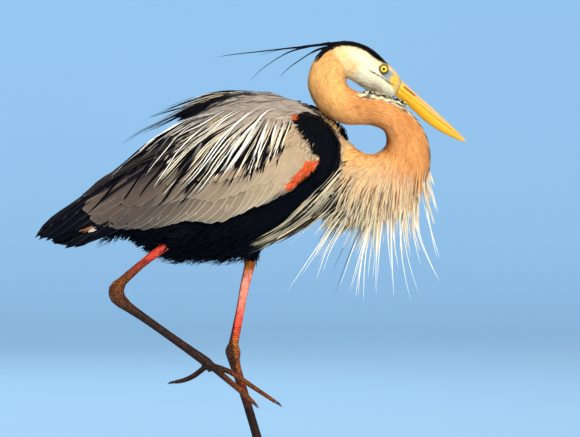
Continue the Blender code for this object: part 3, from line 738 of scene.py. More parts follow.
def ramp(values, stops):
    """Colours read off between stops, each a place and a colour."""
    spots = [stop[0] for stop in stops]
    shades = np.array([stop[1] for stop in stops])
    return np.stack([np.interp(values, spots, shades[:, k]) for k in range(3)], axis=-1)


def wing_grey(x, z):
    """The wing's warm grey, browner and darker to the rear, and blue black at its tip."""
    hues = colours()
    grey = mix(hues["covert"], hues["slate"], soft_step(66, -190, x + (z - 450) * 0.35))
    grey = mix(grey, hues["mantle"], 0.8 * soft_step(535, 580, z))
    return mix(grey, hues["flight"], soft_step(-214, -262, x + (z - 420) * 0.55))


def belly_tint(x, z):
    """Black, with the mantle's grey before and above it."""
    hues = colours()
    mantle = np.maximum(patch(MANTLE, x, z, 3), soft_step(596, 604, z))
    front = mix(hues["mantle"], hues["buff_pale"], soft_step(80, 150, x) * 0.5)
    return mix(np.tile(hues["black"], (len(x), 1)), front, mantle)


def neck_tint(points, x, y, z, wave, fine):
    """Buff, paler above, with painted shade in its folds and grey below, with a white and black stripe down
    the front.
    """
    hues = colours()
    along, front = neck_place(x, z)
    warm = mix(hues["buff"], hues["buff_pale"], soft_step(0.55, 0.95, along) * 0.62)
    warm = mix(warm, hues["buff_pale"], 0.45 * soft_step(0.32, 0.18, along) * soft_step(218, 180, x))
    warm = mix(warm, hues["buff_pale"], 0.15 * soft_step(0.1, 0.9, wave))
    # painted shade: deep buff along the inner edge of the loop and a dark patch in the fold under it; the
    # wave adds darker buff at random
    inner = soft_step(-0.2, -0.95, front) * soft_step(0.16, 0.3, along) * soft_step(0.75, 0.45, along)
    warm = mix(warm, hues["buff_deep"], 0.7 * inner + 0.16 * soft_step(0.0, 1.0, -wave))
    warm = mix(warm, hues["buff_deep"] * 0.25, 0.85 * patch(NECK_FOLD_SHADE, x, z, 7))
    warm = mix(warm, hues["face"], 0.5 * patch(FACE, x, z, 16))
    warm = mix(warm, hues["buff_deep"], 0.18 * soft_step(0.1, 0.9, fine))
    low = soft_step(512, 440, z) * soft_step(0.3, 0.12, along)
    grey = mix(hues["mantle"], hues["cream"], 0.5)
    warm = mix(warm, grey, 0.66 * low + 0.25 * low * soft_step(200, 145, x)) * (1 - 0.2 * low[:, None])
    # the stripe, as wide as this at these places, with dashes of black on white
    half = np.interp(along, [0.2, 0.36, 0.5, 0.62, 0.8, 1.0], [3.0, 7.0, 13.0, 17.0, 15.0, 13.0])
    stripe = soft_step(1.5, -1.5, np.abs(y) - half) * soft_step(0.45, 0.6, front)
    stripe = stripe * soft_step(0.16, 0.3, along) * soft_step(0.98, 0.8, along)
    stripe = stripe * (1 - soft_step(172, 160, x) * soft_step(590, 596, z))
    dashes = soft_step(-0.15, 0.25, ripple(points, 0.011, 5) - 0.15 + 0.5 * soft_step(0.52, 0.42, along))
    return mix(warm, mix(hues["face"], hues["black"], dashes * 0.85), stripe)


def head_tint(points, x, y, z, fine):
    """White face, black crown sides over a white middle, bare skin before the eye, a dark gape line and
    painted shade under the cheek and chin.
    """
    hues = colours()
    face = mix(mix(hues["buff_pale"], hues["face"], 0.25), hues["face"], patch(FACE, x, z, 9))
    # painted shade: deep buff along the underside of the cheek, and an olive band along the chin's lower edge
    cheek_fold = soft_step(16, 6, np.abs(z - (626 - 0.42 * (x - 176)) + 6))
    shade = cheek_fold * soft_step(150, 172, x) * soft_step(205, 190, x)
    face = mix(face, hues["buff_deep"] * 0.8, 0.55 * shade * soft_step(626, 606, z))
    face = mix(face, linear("8F7A3E"), 0.6 * patch(CHIN_SHADE, x, z, 2.5) * soft_step(0.1, 0.5, 0.4 + 0.6 * fine))
    crown_side = soft_step(1.0, 2.6, np.abs(y) + 9 * soft_step(160, 138, x))
    face = mix(face, hues["black"], patch(CROWN, x, z, 1.6) * crown_side)
    mottle = 0.78 + 0.3 * ripple(points, 0.006, 12)
    bare = mix(hues["lores"], hues["skin_yellow"], patch(YELLOW_SKIN, x, z, 4) * np.clip(mottle, 0.3, 1))
    face = mix(face, bare, patch(LORES, x, z, 2.2))
    gape_line = np.interp(x, [178, 190, 202, 212, 220], [638, 632, 624.5, 617.5, 614])
    gape = soft_step(1.9, 0.6, np.abs(z - gape_line))
    return mix(face, hues["black"], 0.85 * gape * soft_step(176, 186, x) * soft_step(221, 214, x))


def coat_tint(points, part):
    """The plumage colour at each place. Skin and feathers both take it from here."""
    hues = colours()
    x, y, z = (points / MM).T
    wave, fine = ripple(points, 0.05), ripple(points, 0.016, 3)
    tint = wing_grey(x, z)
    tint[on(part, "wing_tip_right", "wing_tip_left", "tail")] = hues["flight"]
    under = on(part, "trunk", "thigh_right", "thigh_left", "shoulder_right", "shoulder_left", "tail")
    tint[under] = belly_tint(x, z)[under]
    streaks = soft_step(-0.4, 0.05, ripple(points * np.array([0.35, 1, 1.6]), 0.010, 7))
    tint = mix(tint, hues["flight"], 0.95 * (patch(BACK_BAND, x, z, 2.5) * streaks))
    neck = on(part, "breast_plumes", *NECK_NODES)
    tint[neck] = neck_tint(points, x, y, z, wave, fine)[neck]
    on_head, upper = on(part, "head"), on(part, "neck_upper")
    tint[on_head] = head_tint(points, x, y, z, fine)[on_head]
    tint[upper] = mix(tint, hues["black"], patch(CROWN, x, z, 2))[upper]
    # the far shoulder's edge, which shows behind the neck: pale buff, partly its own colour and partly
    # painted light where the neck shades it from the lamps
    inward = on(part, "shoulder_left", "trunk") & (y > 0) & (y < 50) & (z > 505)
    pale = mix(hues["mantle"], hues["buff_pale"], soft_step(70, 130, x) * 0.8)
    tint[inward] = mix(pale, hues["black"], patch(FAR_SLIVER, x, z, 1.5))[inward]
    # the shoulder's black, with a ragged rear edge, and the rust behind it
    sx, sz = x - FAR_SHOULDER[0] * (y > 0), z - FAR_SHOULDER[1] * (y > 0)
    ragged = 2.2 + 1.8 * ripple(points, 0.009, 9)
    flank_side = (np.abs(y) > 12) & ~neck & ~on_head & ~inward
    black = patch(SHOULDER_PATCH, sx + ragged * soft_step(110, 90, sx), sz, 1.8) * flank_side
    rust = patch(RUST_PATCH, sx, sz, 1.5) * flank_side * (1 - 0.2 * soft_step(0, 1, fine))
    tint = mix(mix(tint, hues["black"], black), hues["rust"], rust)
    tint = mix(tint, hues["rust"] * 0.8, patch(RUST_TUFT, sx, sz, 1.5) * flank_side)
    # the legs, under a garter of black feathers on the standing one
    legs = on(part, *LEGS)
    garter = soft_step(340, 345, z + 3 * ripple(points, 0.006, 9)) * (y > 0)
    tint[legs] = mix(leg_tint(x, y, z, points), hues["black"], garter)[legs]
    return np.clip(tint * (1 + 0.05 * wave[:, None] * (~legs)[:, None]), 0, 1)


def leg_tint(x, y, z, points):
    """Coral red on the bare thigh, orange at the heel joint and dark brown on the shank and toes, with
    painted shade at the top of the raised thigh and down the rear edge of the standing one.
    """
    hues = colours()
    red, pink, orange, dark = hues["leg_red"], hues["leg_pink"], hues["leg_orange"], hues["leg_brown"]
    raised = ramp(
        z,
        [
            (262, dark), (286, mix(dark, orange, 0.25)), (316, mix(dark, orange, 0.38)),
            # the top stop darkens the raised thigh where it goes in under the belly: painted shade
            (340, mix(dark, red, 0.4)), (355, red), (362, red), (369, mix(dark, red, 0.2)),
        ],
    )
    standing = ramp(
        z,
        [
            (110, dark), (150, mix(dark, red, 0.25)), (185, orange * 0.65), (214, orange), (238, red),
            (264, mix(red, pink, 0.35)), (286, pink), (316, pink), (325, mix(pink, orange, 0.6)),
            (334, orange), (346, orange),
        ],
    )
    # painted shade: a dark band down the rear edge of the standing thigh, the side away from the light
    rear_edge = np.interp(z, [90, 190, 220, 262, 305, 341], [-12.7, -28.7, -32.7, -26.4, -19.4, -11])
    rear = soft_step(3.5, 1.2, x - rear_edge)
    standing = mix(standing, dark, 0.9 * rear * soft_step(334, 316, z))
    raised = mix(raised, orange, 0.4 * soft_step(-55, -20, x) * soft_step(200, 150, z))
    # dark wrinkles round each heel joint
    wrinkles = soft_step(0.1, 0.6, ripple(points * np.array([1, 1, 2.2]), 0.008, 6))
    raised = mix(raised, dark * 0.5, 0.5 * wrinkles * soft_step(322, 305, z) * soft_step(262, 285, z))
    standing = mix(standing, dark * 0.5, 0.5 * wrinkles * soft_step(222, 205, z) * soft_step(172, 190, z))
    tint = np.where((y < 0)[:, None], raised, standing)
    blotches, specks = ripple(points, 0.012, 2)[:, None], ripple(points, 0.005, 4)[:, None]
    return np.clip(tint * (1 + 0.22 * blotches + 0.16 * specks), 0, 1)


# --- vanes -------------------------------------------------------------------------------------------
LANCE = [(0, 0.35), (0.12, 0.85), (0.35, 1.0), (0.7, 0.72), (0.9, 0.38), (1, 0.08)]
ROUND = [(0, 0.25), (0.2, 0.8), (0.5, 1.0), (0.8, 0.98), (0.92, 0.78), (0.975, 0.45), (1, 0.08)]
POINTED = [(0, 0.3), (0.2, 0.85), (0.5, 1.0), (0.78, 0.86), (0.92, 0.5), (1, 0.06)]
FINE = [(0, 0.12), (0.25, 0.7), (0.45, 1.0), (0.7, 0.7), (0.88, 0.4), (1, 0.08)]
HAIR = [(0, 0.6), (0.2, 1.0), (0.6, 0.75), (0.85, 0.45), (1, 0.1)]


def vane_faces(rows):
    """The triangles of one vane, three vertices to a row and one at the tip, and which way each faces."""
    faces, facing = [], []
    for r in range(rows - 2):
        a, b, c = 3 * r, 3 * r + 1, 3 * r + 2
        for p, q, way in ((a, b, 1), (b, c, 1), (c, a, -1)):
            faces += [(p, p + 3, q), (q, p + 3, q + 3)]
            facing += [way, way]
    a, tip = 3 * (rows - 2), 3 * (rows - 1)
    faces += [(a, tip, a + 1), (a + 1, tip, a + 2), (a + 2, tip, a), (0, 1, 2)]
    facing += [1, 1, -1, 1]
    return np.array(faces), facing


def each(value, count):
    """One value, or a value for each vane, as a column."""
    return np.broadcast_to(np.asarray(value, float), (count,))[:, None]


class Coat:
    """Gathers closed vanes and makes one mesh of them."""

    def __init__(self, seed):
        self.rng = np.random.default_rng(sizes().seed * 1000 + seed)
        self.batches = []
        self.total = 0

    def vanes(self, line, up, width, shape, tint, root_uv, camber=0.12, tilt=0.0, rim=0.0, soft=0.6):
        """Adds n vanes.

        line is (n, rows, 3), up the outward way at each row, width the full width of each vane and shape its
        outline along the shaft. tint is (n, rows, 3). camber is the height of the shaft as a share of the
        width, tilt leans the vane over its neighbour, rim is how pale its edge is and soft how far its
        shading follows the body under it.
        """
        n, rows = line.shape[:2]
        tangent = tidy(np.gradient(line, axis=1))
        side = tidy(np.cross(up, tangent))
        face = np.cross(tangent, side)
        if np.any(tilt):
            lean = each(tilt, n)[:, None]
            side = side * np.cos(lean) + face * np.sin(lean)
            face = np.cross(tangent, side)
        shares = np.linspace(0, 1, rows)
        profile = np.interp(shares, *zip(*shape))
        half = each(width, n) * profile[None] / 2
        rise = half[..., None] * 2 * camber
        edge = side * half[..., None]
        verts = np.stack([line - edge, line + face * rise, line + edge], axis=2)
        verts = np.concatenate([verts[:, :-1].reshape(n, -1, 3), line[:, -1:]], axis=1)
        normal = np.stack([face - side * 0.35, face, face + side * 0.35], axis=2)
        normal = np.concatenate([normal[:, :-1].reshape(n, -1, 3), face[:, -1:]], axis=1)
        under = np.concatenate([np.repeat(up[:, :-1], 3, axis=1), up[:, -1:]], axis=1)
        normal = tidy(tidy(normal) * (1 - soft) + under * soft)
        colour = np.concatenate([np.repeat(tint[:, :-1], 3, axis=1), tint[:, -1:]], axis=1)
        across = np.concatenate([np.tile([0.0, 0.5, 1.0], rows - 1), [0.5]])
        along = np.concatenate([np.repeat(shares[:-1], 3), [1.0]])
        vane = np.broadcast_to(np.stack([across, along], axis=1), (n, 3 * rows - 2, 2))
        reach = np.linalg.norm(np.diff(line, axis=1), axis=2).sum(1)
        barb = np.stack([(across[None] - 0.5) * each(width, n), along[None] * reach[:, None]], axis=2)
        faces, facing = vane_faces(rows)
        first = (np.arange(n) * (3 * rows - 2) + self.total)[:, None, None]
        self.total += n * (3 * rows - 2)
        self.batches.append({
            "vertices": verts.reshape(-1, 3),
            "normals": normal.reshape(-1, 3),
            "tint": colour.reshape(-1, 3),
            "rim": np.repeat(each(rim, n), 3 * rows - 2),
            "Vane": vane.reshape(-1, 2),
            "Barb": (barb * BARB_MAP).reshape(-1, 2),
            "OFBake": (root_uv[:, None] + (vane - 0.5) * BAKE_PATCH).reshape(-1, 2),
            "facing": np.tile(facing, n),
            "faces": (faces[None] + first).reshape(-1, 3),
        })

    def build(self, name, material):
        """One mesh object of all the vanes."""
        whole = {key: np.concatenate([batch[key] for batch in self.batches]) for key in self.batches[0]}
        faces = whole["faces"].astype(np.int32)
        mesh = bpy.data.meshes.new(name)
        mesh.vertices.add(self.total)
        mesh.vertices.foreach_set("co", whole["vertices"].astype(np.float32).ravel())
        mesh.loops.add(faces.size)
        mesh.loops.foreach_set("vertex_index", faces.ravel())
        mesh.polygons.add(len(faces))
        mesh.polygons.foreach_set("loop_start", np.arange(0, faces.size, 3, dtype=np.int32))
        mesh.update(calc_edges=True)
        for title in ("OFBake", "Vane", "Barb"):
            layer = mesh.uv_layers.new(name=title)
            layer.data.foreach_set("uv", whole[title][faces.ravel()].astype(np.float32).ravel())
        paint_vertices(mesh, whole["tint"], whole["rim"])
        obj = new_object(name, mesh, material)
        # undersides shade as their upper sides do, turned over
        normals = whole["normals"][faces] * whole["facing"][:, None, None]
        mesh.normals_split_custom_set(normals.reshape(-1, 3).tolist())
        return obj


def at_places(size, points, part):
    """A size as it is, or worked out at each place."""
    return size(points, part) if callable(size) else size


def pile(
    coat, density, lengths, widths, wanted, tint_jitter=0.10, lift=0.0012, shape=LANCE, rows=3, thin=0.0,
    soft=0.75, base=0.0, stray=0.12, rim=0.0, root_shade=0.82, ahead=0.8,
):
    """Scatters small feathers that hug the skin.

    density is feathers per square metre of skin and wanted picks the places. lengths and widths are sizes in
    metres or functions of place. base is how far the roots stand off the skin and lift how much further the
    tips do. thin keeps one feather in each cell of this size, stray is how far they fan out, and ahead is how
    far along it each feather takes its colour.
    """
    rng = coat.rng
    roots, normals, uv, part = body.scatter(body.area * density * sizes().density, rng)
    keep = wanted(roots, normals, part)
    roots, normals, uv, part = roots[keep], normals[keep], uv[keep], part[keep]
    if thin:
        cells = np.round(roots / thin).astype(int)
        _, first = np.unique(cells, axis=0, return_index=True)
        roots, normals, uv, part = roots[first], normals[first], uv[first], part[first]
    way = lie_of_coat(roots, normals, part)
    across = np.cross(normals, way)
    swerve = rng.normal(0, stray, len(roots)) + 0.12 * ripple(roots, 0.03, 8)
    way = tidy(way + across * swerve[:, None])
    reach = at_places(lengths, roots, part) * rng.uniform(0.8, 1.2, len(roots))
    steps = np.linspace(0, 1, rows)
    line = np.zeros((len(roots), rows, 3))
    up = np.zeros_like(line)
    line[:, 0], up[:, 0] = roots + normals * base, normals
    previous, heading = roots, way
    for k in range(1, rows):
        target = previous + heading * (reach * (steps[k] - steps[k - 1]))[:, None]
        hits, facing, _ = body.nearest(target)
        far = np.linalg.norm(hits - target, axis=1) > 0.35 * reach
        hits[far], facing[far] = target[far], up[:, k - 1][far]
        heading = tidy(hits - previous)
        previous = hits
        line[:, k] = hits + facing * (base + lift * steps[k] * rng.uniform(0.5, 1.5, len(roots)))[:, None]
        up[:, k] = facing
    tints = coat_tint(roots + way * (reach * ahead)[:, None], part)
    shade = (1 + rng.normal(0, tint_jitter, len(roots)))[:, None, None]
    fade = np.interp(steps, [0, 0.6, 1], [root_shade, 1.0, 1.06])[None, :, None]
    colour = np.clip(tints[:, None] * shade * fade, 0, 1)
    width = at_places(widths, roots, part) * rng.uniform(0.8, 1.2, len(roots))
    coat.vanes(line, up, width, shape, colour, uv, rim=rim, soft=soft)


def hanging(roots, normals, way, reach, out, drop, rows, rng):
    """Lines that leave the skin along the coat's lie, a little outwards, and bend down under their weight."""
    t = np.linspace(0, 1, rows)[None, :, None]
    fall = drop * rng.uniform(0.5, 1.3, len(roots))[:, None, None] * t
    stray = rng.normal(0, 0.10, (len(roots), 1, 3))
    heading = way[:, None] * (1 - fall) + np.array([0, 0, -1.0]) * fall
    heading = heading + normals[:, None] * out * (1 - 0.6 * t) + stray * t
    steps = tidy(heading) * (reach / (rows - 1))[:, None, None]
    line = np.cumsum(np.concatenate([np.zeros((len(roots), 1, 3)), steps[:, 1:]], axis=1), axis=1)
    return roots[:, None] + line


def strands(coat, lines, width, shape, tints, up_way=None, soft=0.2, camber=0.2):
    """Free plumes: lines (n, rows, 3) in metres, with a colour for each, from root to tip."""
    lines = np.asarray(lines, float)
    if up_way is None:
        up = np.zeros_like(lines)
        up[..., 1] = np.where(lines[:, :1, 1] <= 0, -1.0, 1.0)
    else:
        up = np.broadcast_to(up_way, lines.shape)
    tangent = tidy(np.gradient(lines, axis=1))
    up = tidy(up - tangent * (up * tangent).sum(2, keepdims=True))
    _, _, uv = body.nearest(lines[:, 0])
    coat.vanes(lines, up, width, shape, tints, uv, camber=camber, soft=soft)


# --- materials ---------------------------------------------------------------------------------------
def new_material(name):
    """A new material with its node tree and its Principled shader."""
    mat = bpy.data.materials.new(name)
    mat.use_nodes = True
    return mat, mat.node_tree, mat.node_tree.nodes["Principled BSDF"]


def feather_material(name, roughness, sheen, barb_mm, barb_depth, streak):
    """Feather keratin grown as fine barbs: dull to satin, with a soft bloom at grazing light.

    The barbs slant outwards from the shaft. They are drawn barb_mm apart, coarser than the real third of a
    millimetre, so that they show. streak is how much lighter and darker some of them are.
    """
    mat, tree, shader = new_material(name)
    tint = add(tree, "VertexColor", layer_name="Tint")
    vane = add(tree, "UVMap", uv_map="Vane")
    barb = add(tree, "UVMap", uv_map="Barb")
    place = add(tree, "SeparateXYZ", {"Vector": vane.outputs["UV"]})
    real = add(tree, "SeparateXYZ", {"Vector": barb.outputs["UV"]})
    outward = add(tree, "Math", {0: real.outputs["X"]}, operation="ABSOLUTE")
    slant = add(tree, "Math", {0: outward, 1: -1.3, 2: real.outputs["Y"]}, operation="MULTIPLY_ADD")
    turns = add(
        tree, "Math", {0: slant, 1: 2 * math.pi * (1000 / BARB_MAP) / barb_mm},
        operation="MULTIPLY",
    )
    wave = add(tree, "Math", {0: turns}, operation="SINE")
    # streaks along the barbs, about 1.8 mm wide, and blotches about 11 mm across the whole coat
    spread = add(tree, "CombineXYZ", {"X": slant, "Y": 0.0, "Z": 0.0})
    spots = add(tree, "TexNoise", {"Vector": spread, "Scale": 55.0, "Detail": 3.0, "Roughness": 0.7})
    where = add(tree, "TexCoord")
    cloud = add(tree, "TexNoise", {"Vector": where.outputs["Object"], "Scale": 90.0, "Detail": 4.0})
    both = add(tree, "Math", {0: spots, 1: cloud}, operation="ADD")
    shade = add(
        tree, "MapRange",
        {"Value": both, "From Min": 0.6, "From Max": 1.4, "To Min": 1 - streak, "To Max": 1 + streak},
    )
    mixed = add(
        tree, "Mix", {0: 1.0, 6: tint.outputs["Color"], 7: shade}, data_type="RGBA",
        blend_type="MULTIPLY",
    )
    # pale rim along both edges and round the tip, as strong as the feather's own rim value says
    centred = add(tree, "Math", {0: place.outputs["X"], 1: 0.5}, operation="SUBTRACT")
    edge = add(tree, "Math", {0: centred}, operation="ABSOLUTE")
    near_edge = add(
        tree, "MapRange", {"Value": edge, "From Min": 0.425, "From Max": 0.455},
        interpolation_type="SMOOTHSTEP",
    )
    near_tip = add(
        tree, "MapRange", {"Value": place.outputs["Y"], "From Min": 0.955, "From Max": 0.985},
        interpolation_type="SMOOTHSTEP",
    )
    outer = add(tree, "Math", {0: near_edge, 1: near_tip}, operation="MAXIMUM")
    amount = add(tree, "Math", {0: outer, 1: tint.outputs["Alpha"]}, operation="MULTIPLY")
    pale = add(tree, "Mix", {0: amount, 6: mixed.outputs[2], 7: (*linear("E9DFC8"), 1)}, data_type="RGBA")
    tree.links.new(pale.outputs[2], shader.inputs["Base Color"])
    bump = add(tree, "Bump", {"Height": wave, "Strength": 0.35, "Distance": barb_depth})
    tree.links.new(bump.outputs[0], shader.inputs["Normal"])
    shader.inputs["Roughness"].default_value = roughness
    shader.inputs["Specular IOR Level"].default_value = 0.05
    shader.inputs["Sheen Weight"].default_value = sheen
    shader.inputs["Sheen Roughness"].default_value = 0.45
    return mat


def skin_material():
    """Matt skin under the plumage, and the horny scutes of the bare legs: small plates, slightly waxy."""
    mat, tree, shader = new_material("plumed_skin_and_leg_scutes")
    tint = add(tree, "VertexColor", layer_name="Tint")
    where = add(tree, "TexCoord")
    stretch = add(tree, "Mapping", {"Vector": where.outputs["Object"], "Scale": (1.0, 1.0, 0.72)})
    # leg plates about 3 mm wide and 4 mm high with sunk seams, and a fine grain of about 1 mm
    plates = add(
        tree, "TexVoronoi", {"Vector": stretch, "Scale": 330.0, "Randomness": 0.75},
        feature="DISTANCE_TO_EDGE",
    )
    seams = add(tree, "MapRange", {"Value": plates, "From Min": 0.02, "From Max": 0.22})
    fine = add(tree, "TexNoise", {"Vector": where.outputs["Object"], "Scale": 900.0, "Detail": 3.0})
    legs = add(tree, "Math", {0: seams, 1: tint.outputs["Alpha"]}, operation="MULTIPLY")
    height = add(tree, "Math", {0: fine, 1: 0.3, 2: legs}, operation="MULTIPLY_ADD")
    bump = add(tree, "Bump", {"Height": height, "Strength": 0.7, "Distance": 0.0007})
    tree.links.new(bump.outputs[0], shader.inputs["Normal"])
    dark = add(tree, "MapRange", {"Value": seams, "To Min": 0.12, "To Max": 1.3})
    share = add(tree, "Mix", {0: tint.outputs["Alpha"], 2: 1.0, 3: dark}, data_type="FLOAT")
    tinted = add(
        tree, "Mix", {0: 1.0, 6: tint.outputs["Color"], 7: share}, data_type="RGBA",
        blend_type="MULTIPLY",
    )
    tree.links.new(tinted.outputs[2], shader.inputs["Base Color"])
    gloss = add(tree, "MapRange", {"Value": tint.outputs["Alpha"], "To Min": 0.85, "To Max": 0.42})
    tree.links.new(gloss.outputs[0], shader.inputs["Roughness"])
    shader.inputs["Specular IOR Level"].default_value = 0.2
    return mat


def horn_material(name, roughness, streak, scale, coat=0.0):
    """Horn, grown in long layers and worn smooth: waxy, with faint streaks along its length.

    scale is the number of streaks in a metre, drawn coarser than the real ones so that they show.
    """
    mat, tree, shader = new_material(name)
    tint = add(tree, "VertexColor", layer_name="Tint")
    where = add(tree, "TexCoord")
    # turned to the slope of the bill; the streaks are twenty times as long as they are wide
    turn = add(tree, "Mapping", {"Vector": where.outputs["Object"], "Rotation": (0, math.radians(-43), 0)})
    stretch = add(tree, "Mapping", {"Vector": turn, "Scale": (0.05, 1.0, 1.0)})
    grain = add(tree, "TexNoise", {"Vector": stretch, "Scale": scale, "Detail": 4.0, "Roughness": 0.6})
    shade = add(
        tree, "MapRange",
        {"Value": grain, "From Min": 0.3, "From Max": 0.7, "To Min": 1 - streak, "To Max": 1 + streak},
    )
    tinted = add(
        tree, "Mix", {0: 1.0, 6: tint.outputs["Color"], 7: shade}, data_type="RGBA",
        blend_type="MULTIPLY",
    )
    tree.links.new(tinted.outputs[2], shader.inputs["Base Color"])
    bump = add(tree, "Bump", {"Height": grain, "Strength": 0.25, "Distance": 0.0004})
    tree.links.new(bump.outputs[0], shader.inputs["Normal"])
    shader.inputs["Roughness"].default_value = roughness
    shader.inputs["Coat Weight"].default_value = coat
    shader.inputs["Subsurface Weight"].default_value = 0.08
    shader.inputs["Subsurface Radius"].default_value = (0.004, 0.002, 0.001)
    return mat


# --- operators ---------------------------------------------------------------------------------------
class HERON_OT_skin(Operator):
    """One skin for the body, neck, head, wings and bare legs, inside the coat by its depth"""

    bl_idname = "heron.skin"
    bl_label = "Skin and Legs"
    bl_options = {"REGISTER", "UNDO"}

    def execute(self, context):
        flesh = self.flesh()
        self.sink(flesh)
        legs = remeshed(merged_copy(LEGS), "legs", sizes().leg_voxel, 0.5, 5)
        bm = bmesh.new()
        bm.from_mesh(flesh)
        bm.from_mesh(legs)
        mesh = bpy.data.meshes.new("skin")
        bm.to_mesh(mesh)
        bm.free()
        skin = new_object("skin", mesh, skin_material())
        self.unwrap(skin)
        body.take_skin(mesh)
        part = body.part(body.places)
        # the scutes fade out on the smooth upper shins
        y, z = body.places[:, 1], body.places[:, 2] / MM
        smooth = np.where(y > 0, soft_step(225, 250, z), 0.6 * soft_step(325, 340, z))
        paint_vertices(mesh, coat_tint(body.places, part), on(part, *LEGS) * (1 - 0.7 * smooth))
        finish_piece(skin, "plumage_black", *BODY_NODES, *LEGS)
        return {"FINISHED"}

    def flesh(self):
        """Body, neck, head and wings as one even mesh, with a keel at the breast and closed eye pockets."""
        bm = merged_copy(BODY_NODES)
        keel = bmesh.ops.create_uvsphere(bm, u_segments=32, v_segments=16, radius=1.0)["verts"]
        bmesh.ops.scale(bm, vec=(0.074, 0.015, 0.022), verts=keel)
        bmesh.ops.rotate(bm, matrix=Matrix.Rotation(math.radians(-11), 3, "Y"), verts=keel)
        bmesh.ops.translate(bm, vec=(0.186, 0, 0.424), verts=keel)
        for side in SIDES.values():
            # only a part of the ball stands out of the pocket round it
            lid = bmesh.ops.create_uvsphere(bm, u_segments=32, v_segments=16, radius=1.0)["verts"]
            bmesh.ops.scale(bm, vec=(0.0112, 0.0045, 0.0112), verts=lid)
            depth = body.level(11.0, side) - 0.0032
            bmesh.ops.translate(bm, vec=(EYE[0] * MM, side * depth, EYE[2] * MM), verts=lid)
        return remeshed(bm, "flesh", sizes().skin_voxel, 0.6, 6)

    def sink(self, flesh):
        """Moves the mesh in by the coat's depth, which changes evenly from one part to the next."""
        places = read(flesh.vertices, "co", 3).astype(float)
        normals = read(flesh.vertex_normals, "vector", 3).astype(float)
        part = body.part(places)
        depth = np.full(len(places), sizes().body_depth)
        depth[on(part, *NECK_NODES)] = sizes().neck_depth
        on_head = on(part, "head")
        depth[on_head] = sizes().head_depth * soft_step(226, 206, places[on_head, 0] / MM)
        depth[on(part, "tail", *WINGS)] = sizes().wing_depth
        depth[on(part, "breast_plumes")] = 0.0
        edges = read(flesh.edges, "vertices", 2, np.int32)
        count = np.bincount(edges.ravel(), minlength=len(places))
        first, second = edges.T
        for _ in range(6):
            total = np.bincount(first, depth[second], len(places))
            total = total + np.bincount(second, depth[first], len(places))
            depth = 0.5 * depth + 0.5 * total / np.maximum(count, 1)
        places -= normals * depth[:, None]
        flesh.vertices.foreach_set("co", places.astype(np.float32).ravel())

    def unwrap(self, skin):
        """Lays the skin out on the bake map."""
        skin.data.uv_layers.new(name="OFBake")
        bpy.context.view_layer.objects.active = skin
        skin.select_set(True)
        bpy.ops.object.mode_set(mode="EDIT")
        bpy.ops.mesh.select_all(action="SELECT")
        bpy.ops.uv.smart_project(angle_limit=math.radians(66), island_margin=0.002)
        bpy.ops.object.mode_set(mode="OBJECT")


def near_eye(points):
    """Distance from the nearer eye's centre line, in the side view."""
    x, z = side_view(points)
    return np.hypot(x - EYE[0], z - EYE[2])


class HERON_OT_head_feathers(Operator):
    """Short close feathers on the head, smallest round the eye and bill"""

    bl_idname = "heron.head_feathers"
    bl_label = "Head Feathers"
    bl_options = {"REGISTER", "UNDO"}

    def execute(self, context):
        coat = Coat(1)

        def wanted(points, normals, part):
            x, z = side_view(points)
            bare = patch(LORES, x, z, 1.0) > 0.5
            return on(part, "head") & (near_eye(points) > EYE_BARE) & ~bare

        def reach(points, part):
            return sizes().head_feather * (0.55 + 0.75 * soft_step(215, 140, points[:, 0] / MM))

        pile(
            coat, density=520000, lengths=reach, widths=0.0013, wanted=wanted, tint_jitter=0.06,
            lift=0.0007, stray=0.16, soft=0.8, base=0.0006,
        )

        def bare_skin(points, normals, part):
            x, z = side_view(points)
            return (
                on(part, "head") & (near_eye(points) > 7.0) & (patch(LORES, x, z, 1.0) > 0.3)
                & (np.abs(normals[:, 1]) > 0.3)
            )

        pile(
            coat, density=620000, lengths=0.0028, widths=0.0017, wanted=bare_skin, tint_jitter=0.05,
            lift=0.0002, shape=ROUND, soft=0.85, base=0.0004, root_shade=0.9,
        )

        def throat(points, normals, part):
            x, z = side_view(points)
            near = patch(THROAT, x, z, 1.0) > 0.5
            return near & on(part, "head", "neck_upper", "neck_middle") & (np.abs(normals[:, 1]) < 0.85)

        def chin(points, normals, part):
            x, z = side_view(points)
            return on(part, "head") & (x < 182) & (x > 144) & (z < 634) & (normals[:, 2] < -0.2)

        pile(coat, density=420000, lengths=0.009, widths=0.0016, wanted=chin, tint_jitter=0.06, lift=0.0034,
             stray=0.2, soft=0.8, base=0.0012)
        pile(coat, density=500000, lengths=0.008, widths=0.0015, wanted=throat, tint_jitter=0.06, lift=0.0042,
             stray=0.3, soft=0.8, base=0.001)
        # white and black dashes where the throat lies on the neck
        rng, hues = coat.rng, colours()
        count = 84
        x = np.linspace(172, 236, count) + rng.normal(0, 0.8, count)
        z = np.interp(x, [169, 191, 212, 238], [605, 602, 597.5, 585]) + rng.normal(0, 1.1, count)
        t = np.linspace(0, 1, 6)[None]
        run = rng.uniform(3.5, 6.5, count)[:, None]
        lines = np.stack([x[:, None] + run * t, z[:, None] - run * (0.75 * t + 0.3 * t**2)], axis=2)
        black = np.arange(count) % 5 < 2
        tint = np.where(black[:, None, None], hues["black"], hues["face"]) * np.ones((count, 6, 3))
        for side in SIDES.values():
            flank_feathers(
                coat, side, lines, np.where(black, 0.0019, 0.0013), LANCE, tint,
                0.0028 + 0.0006 * black + rng.uniform(0, 0.0012, count), camber=0.2, soft=0.5,
            )
        mat = feather_material("down_head_plumage", 0.62, 0.04, 1.2, 0.0001, 0.08)
        finish_piece(coat.build("head_feathers", mat), "plumage_white")
        return {"FINISHED"}


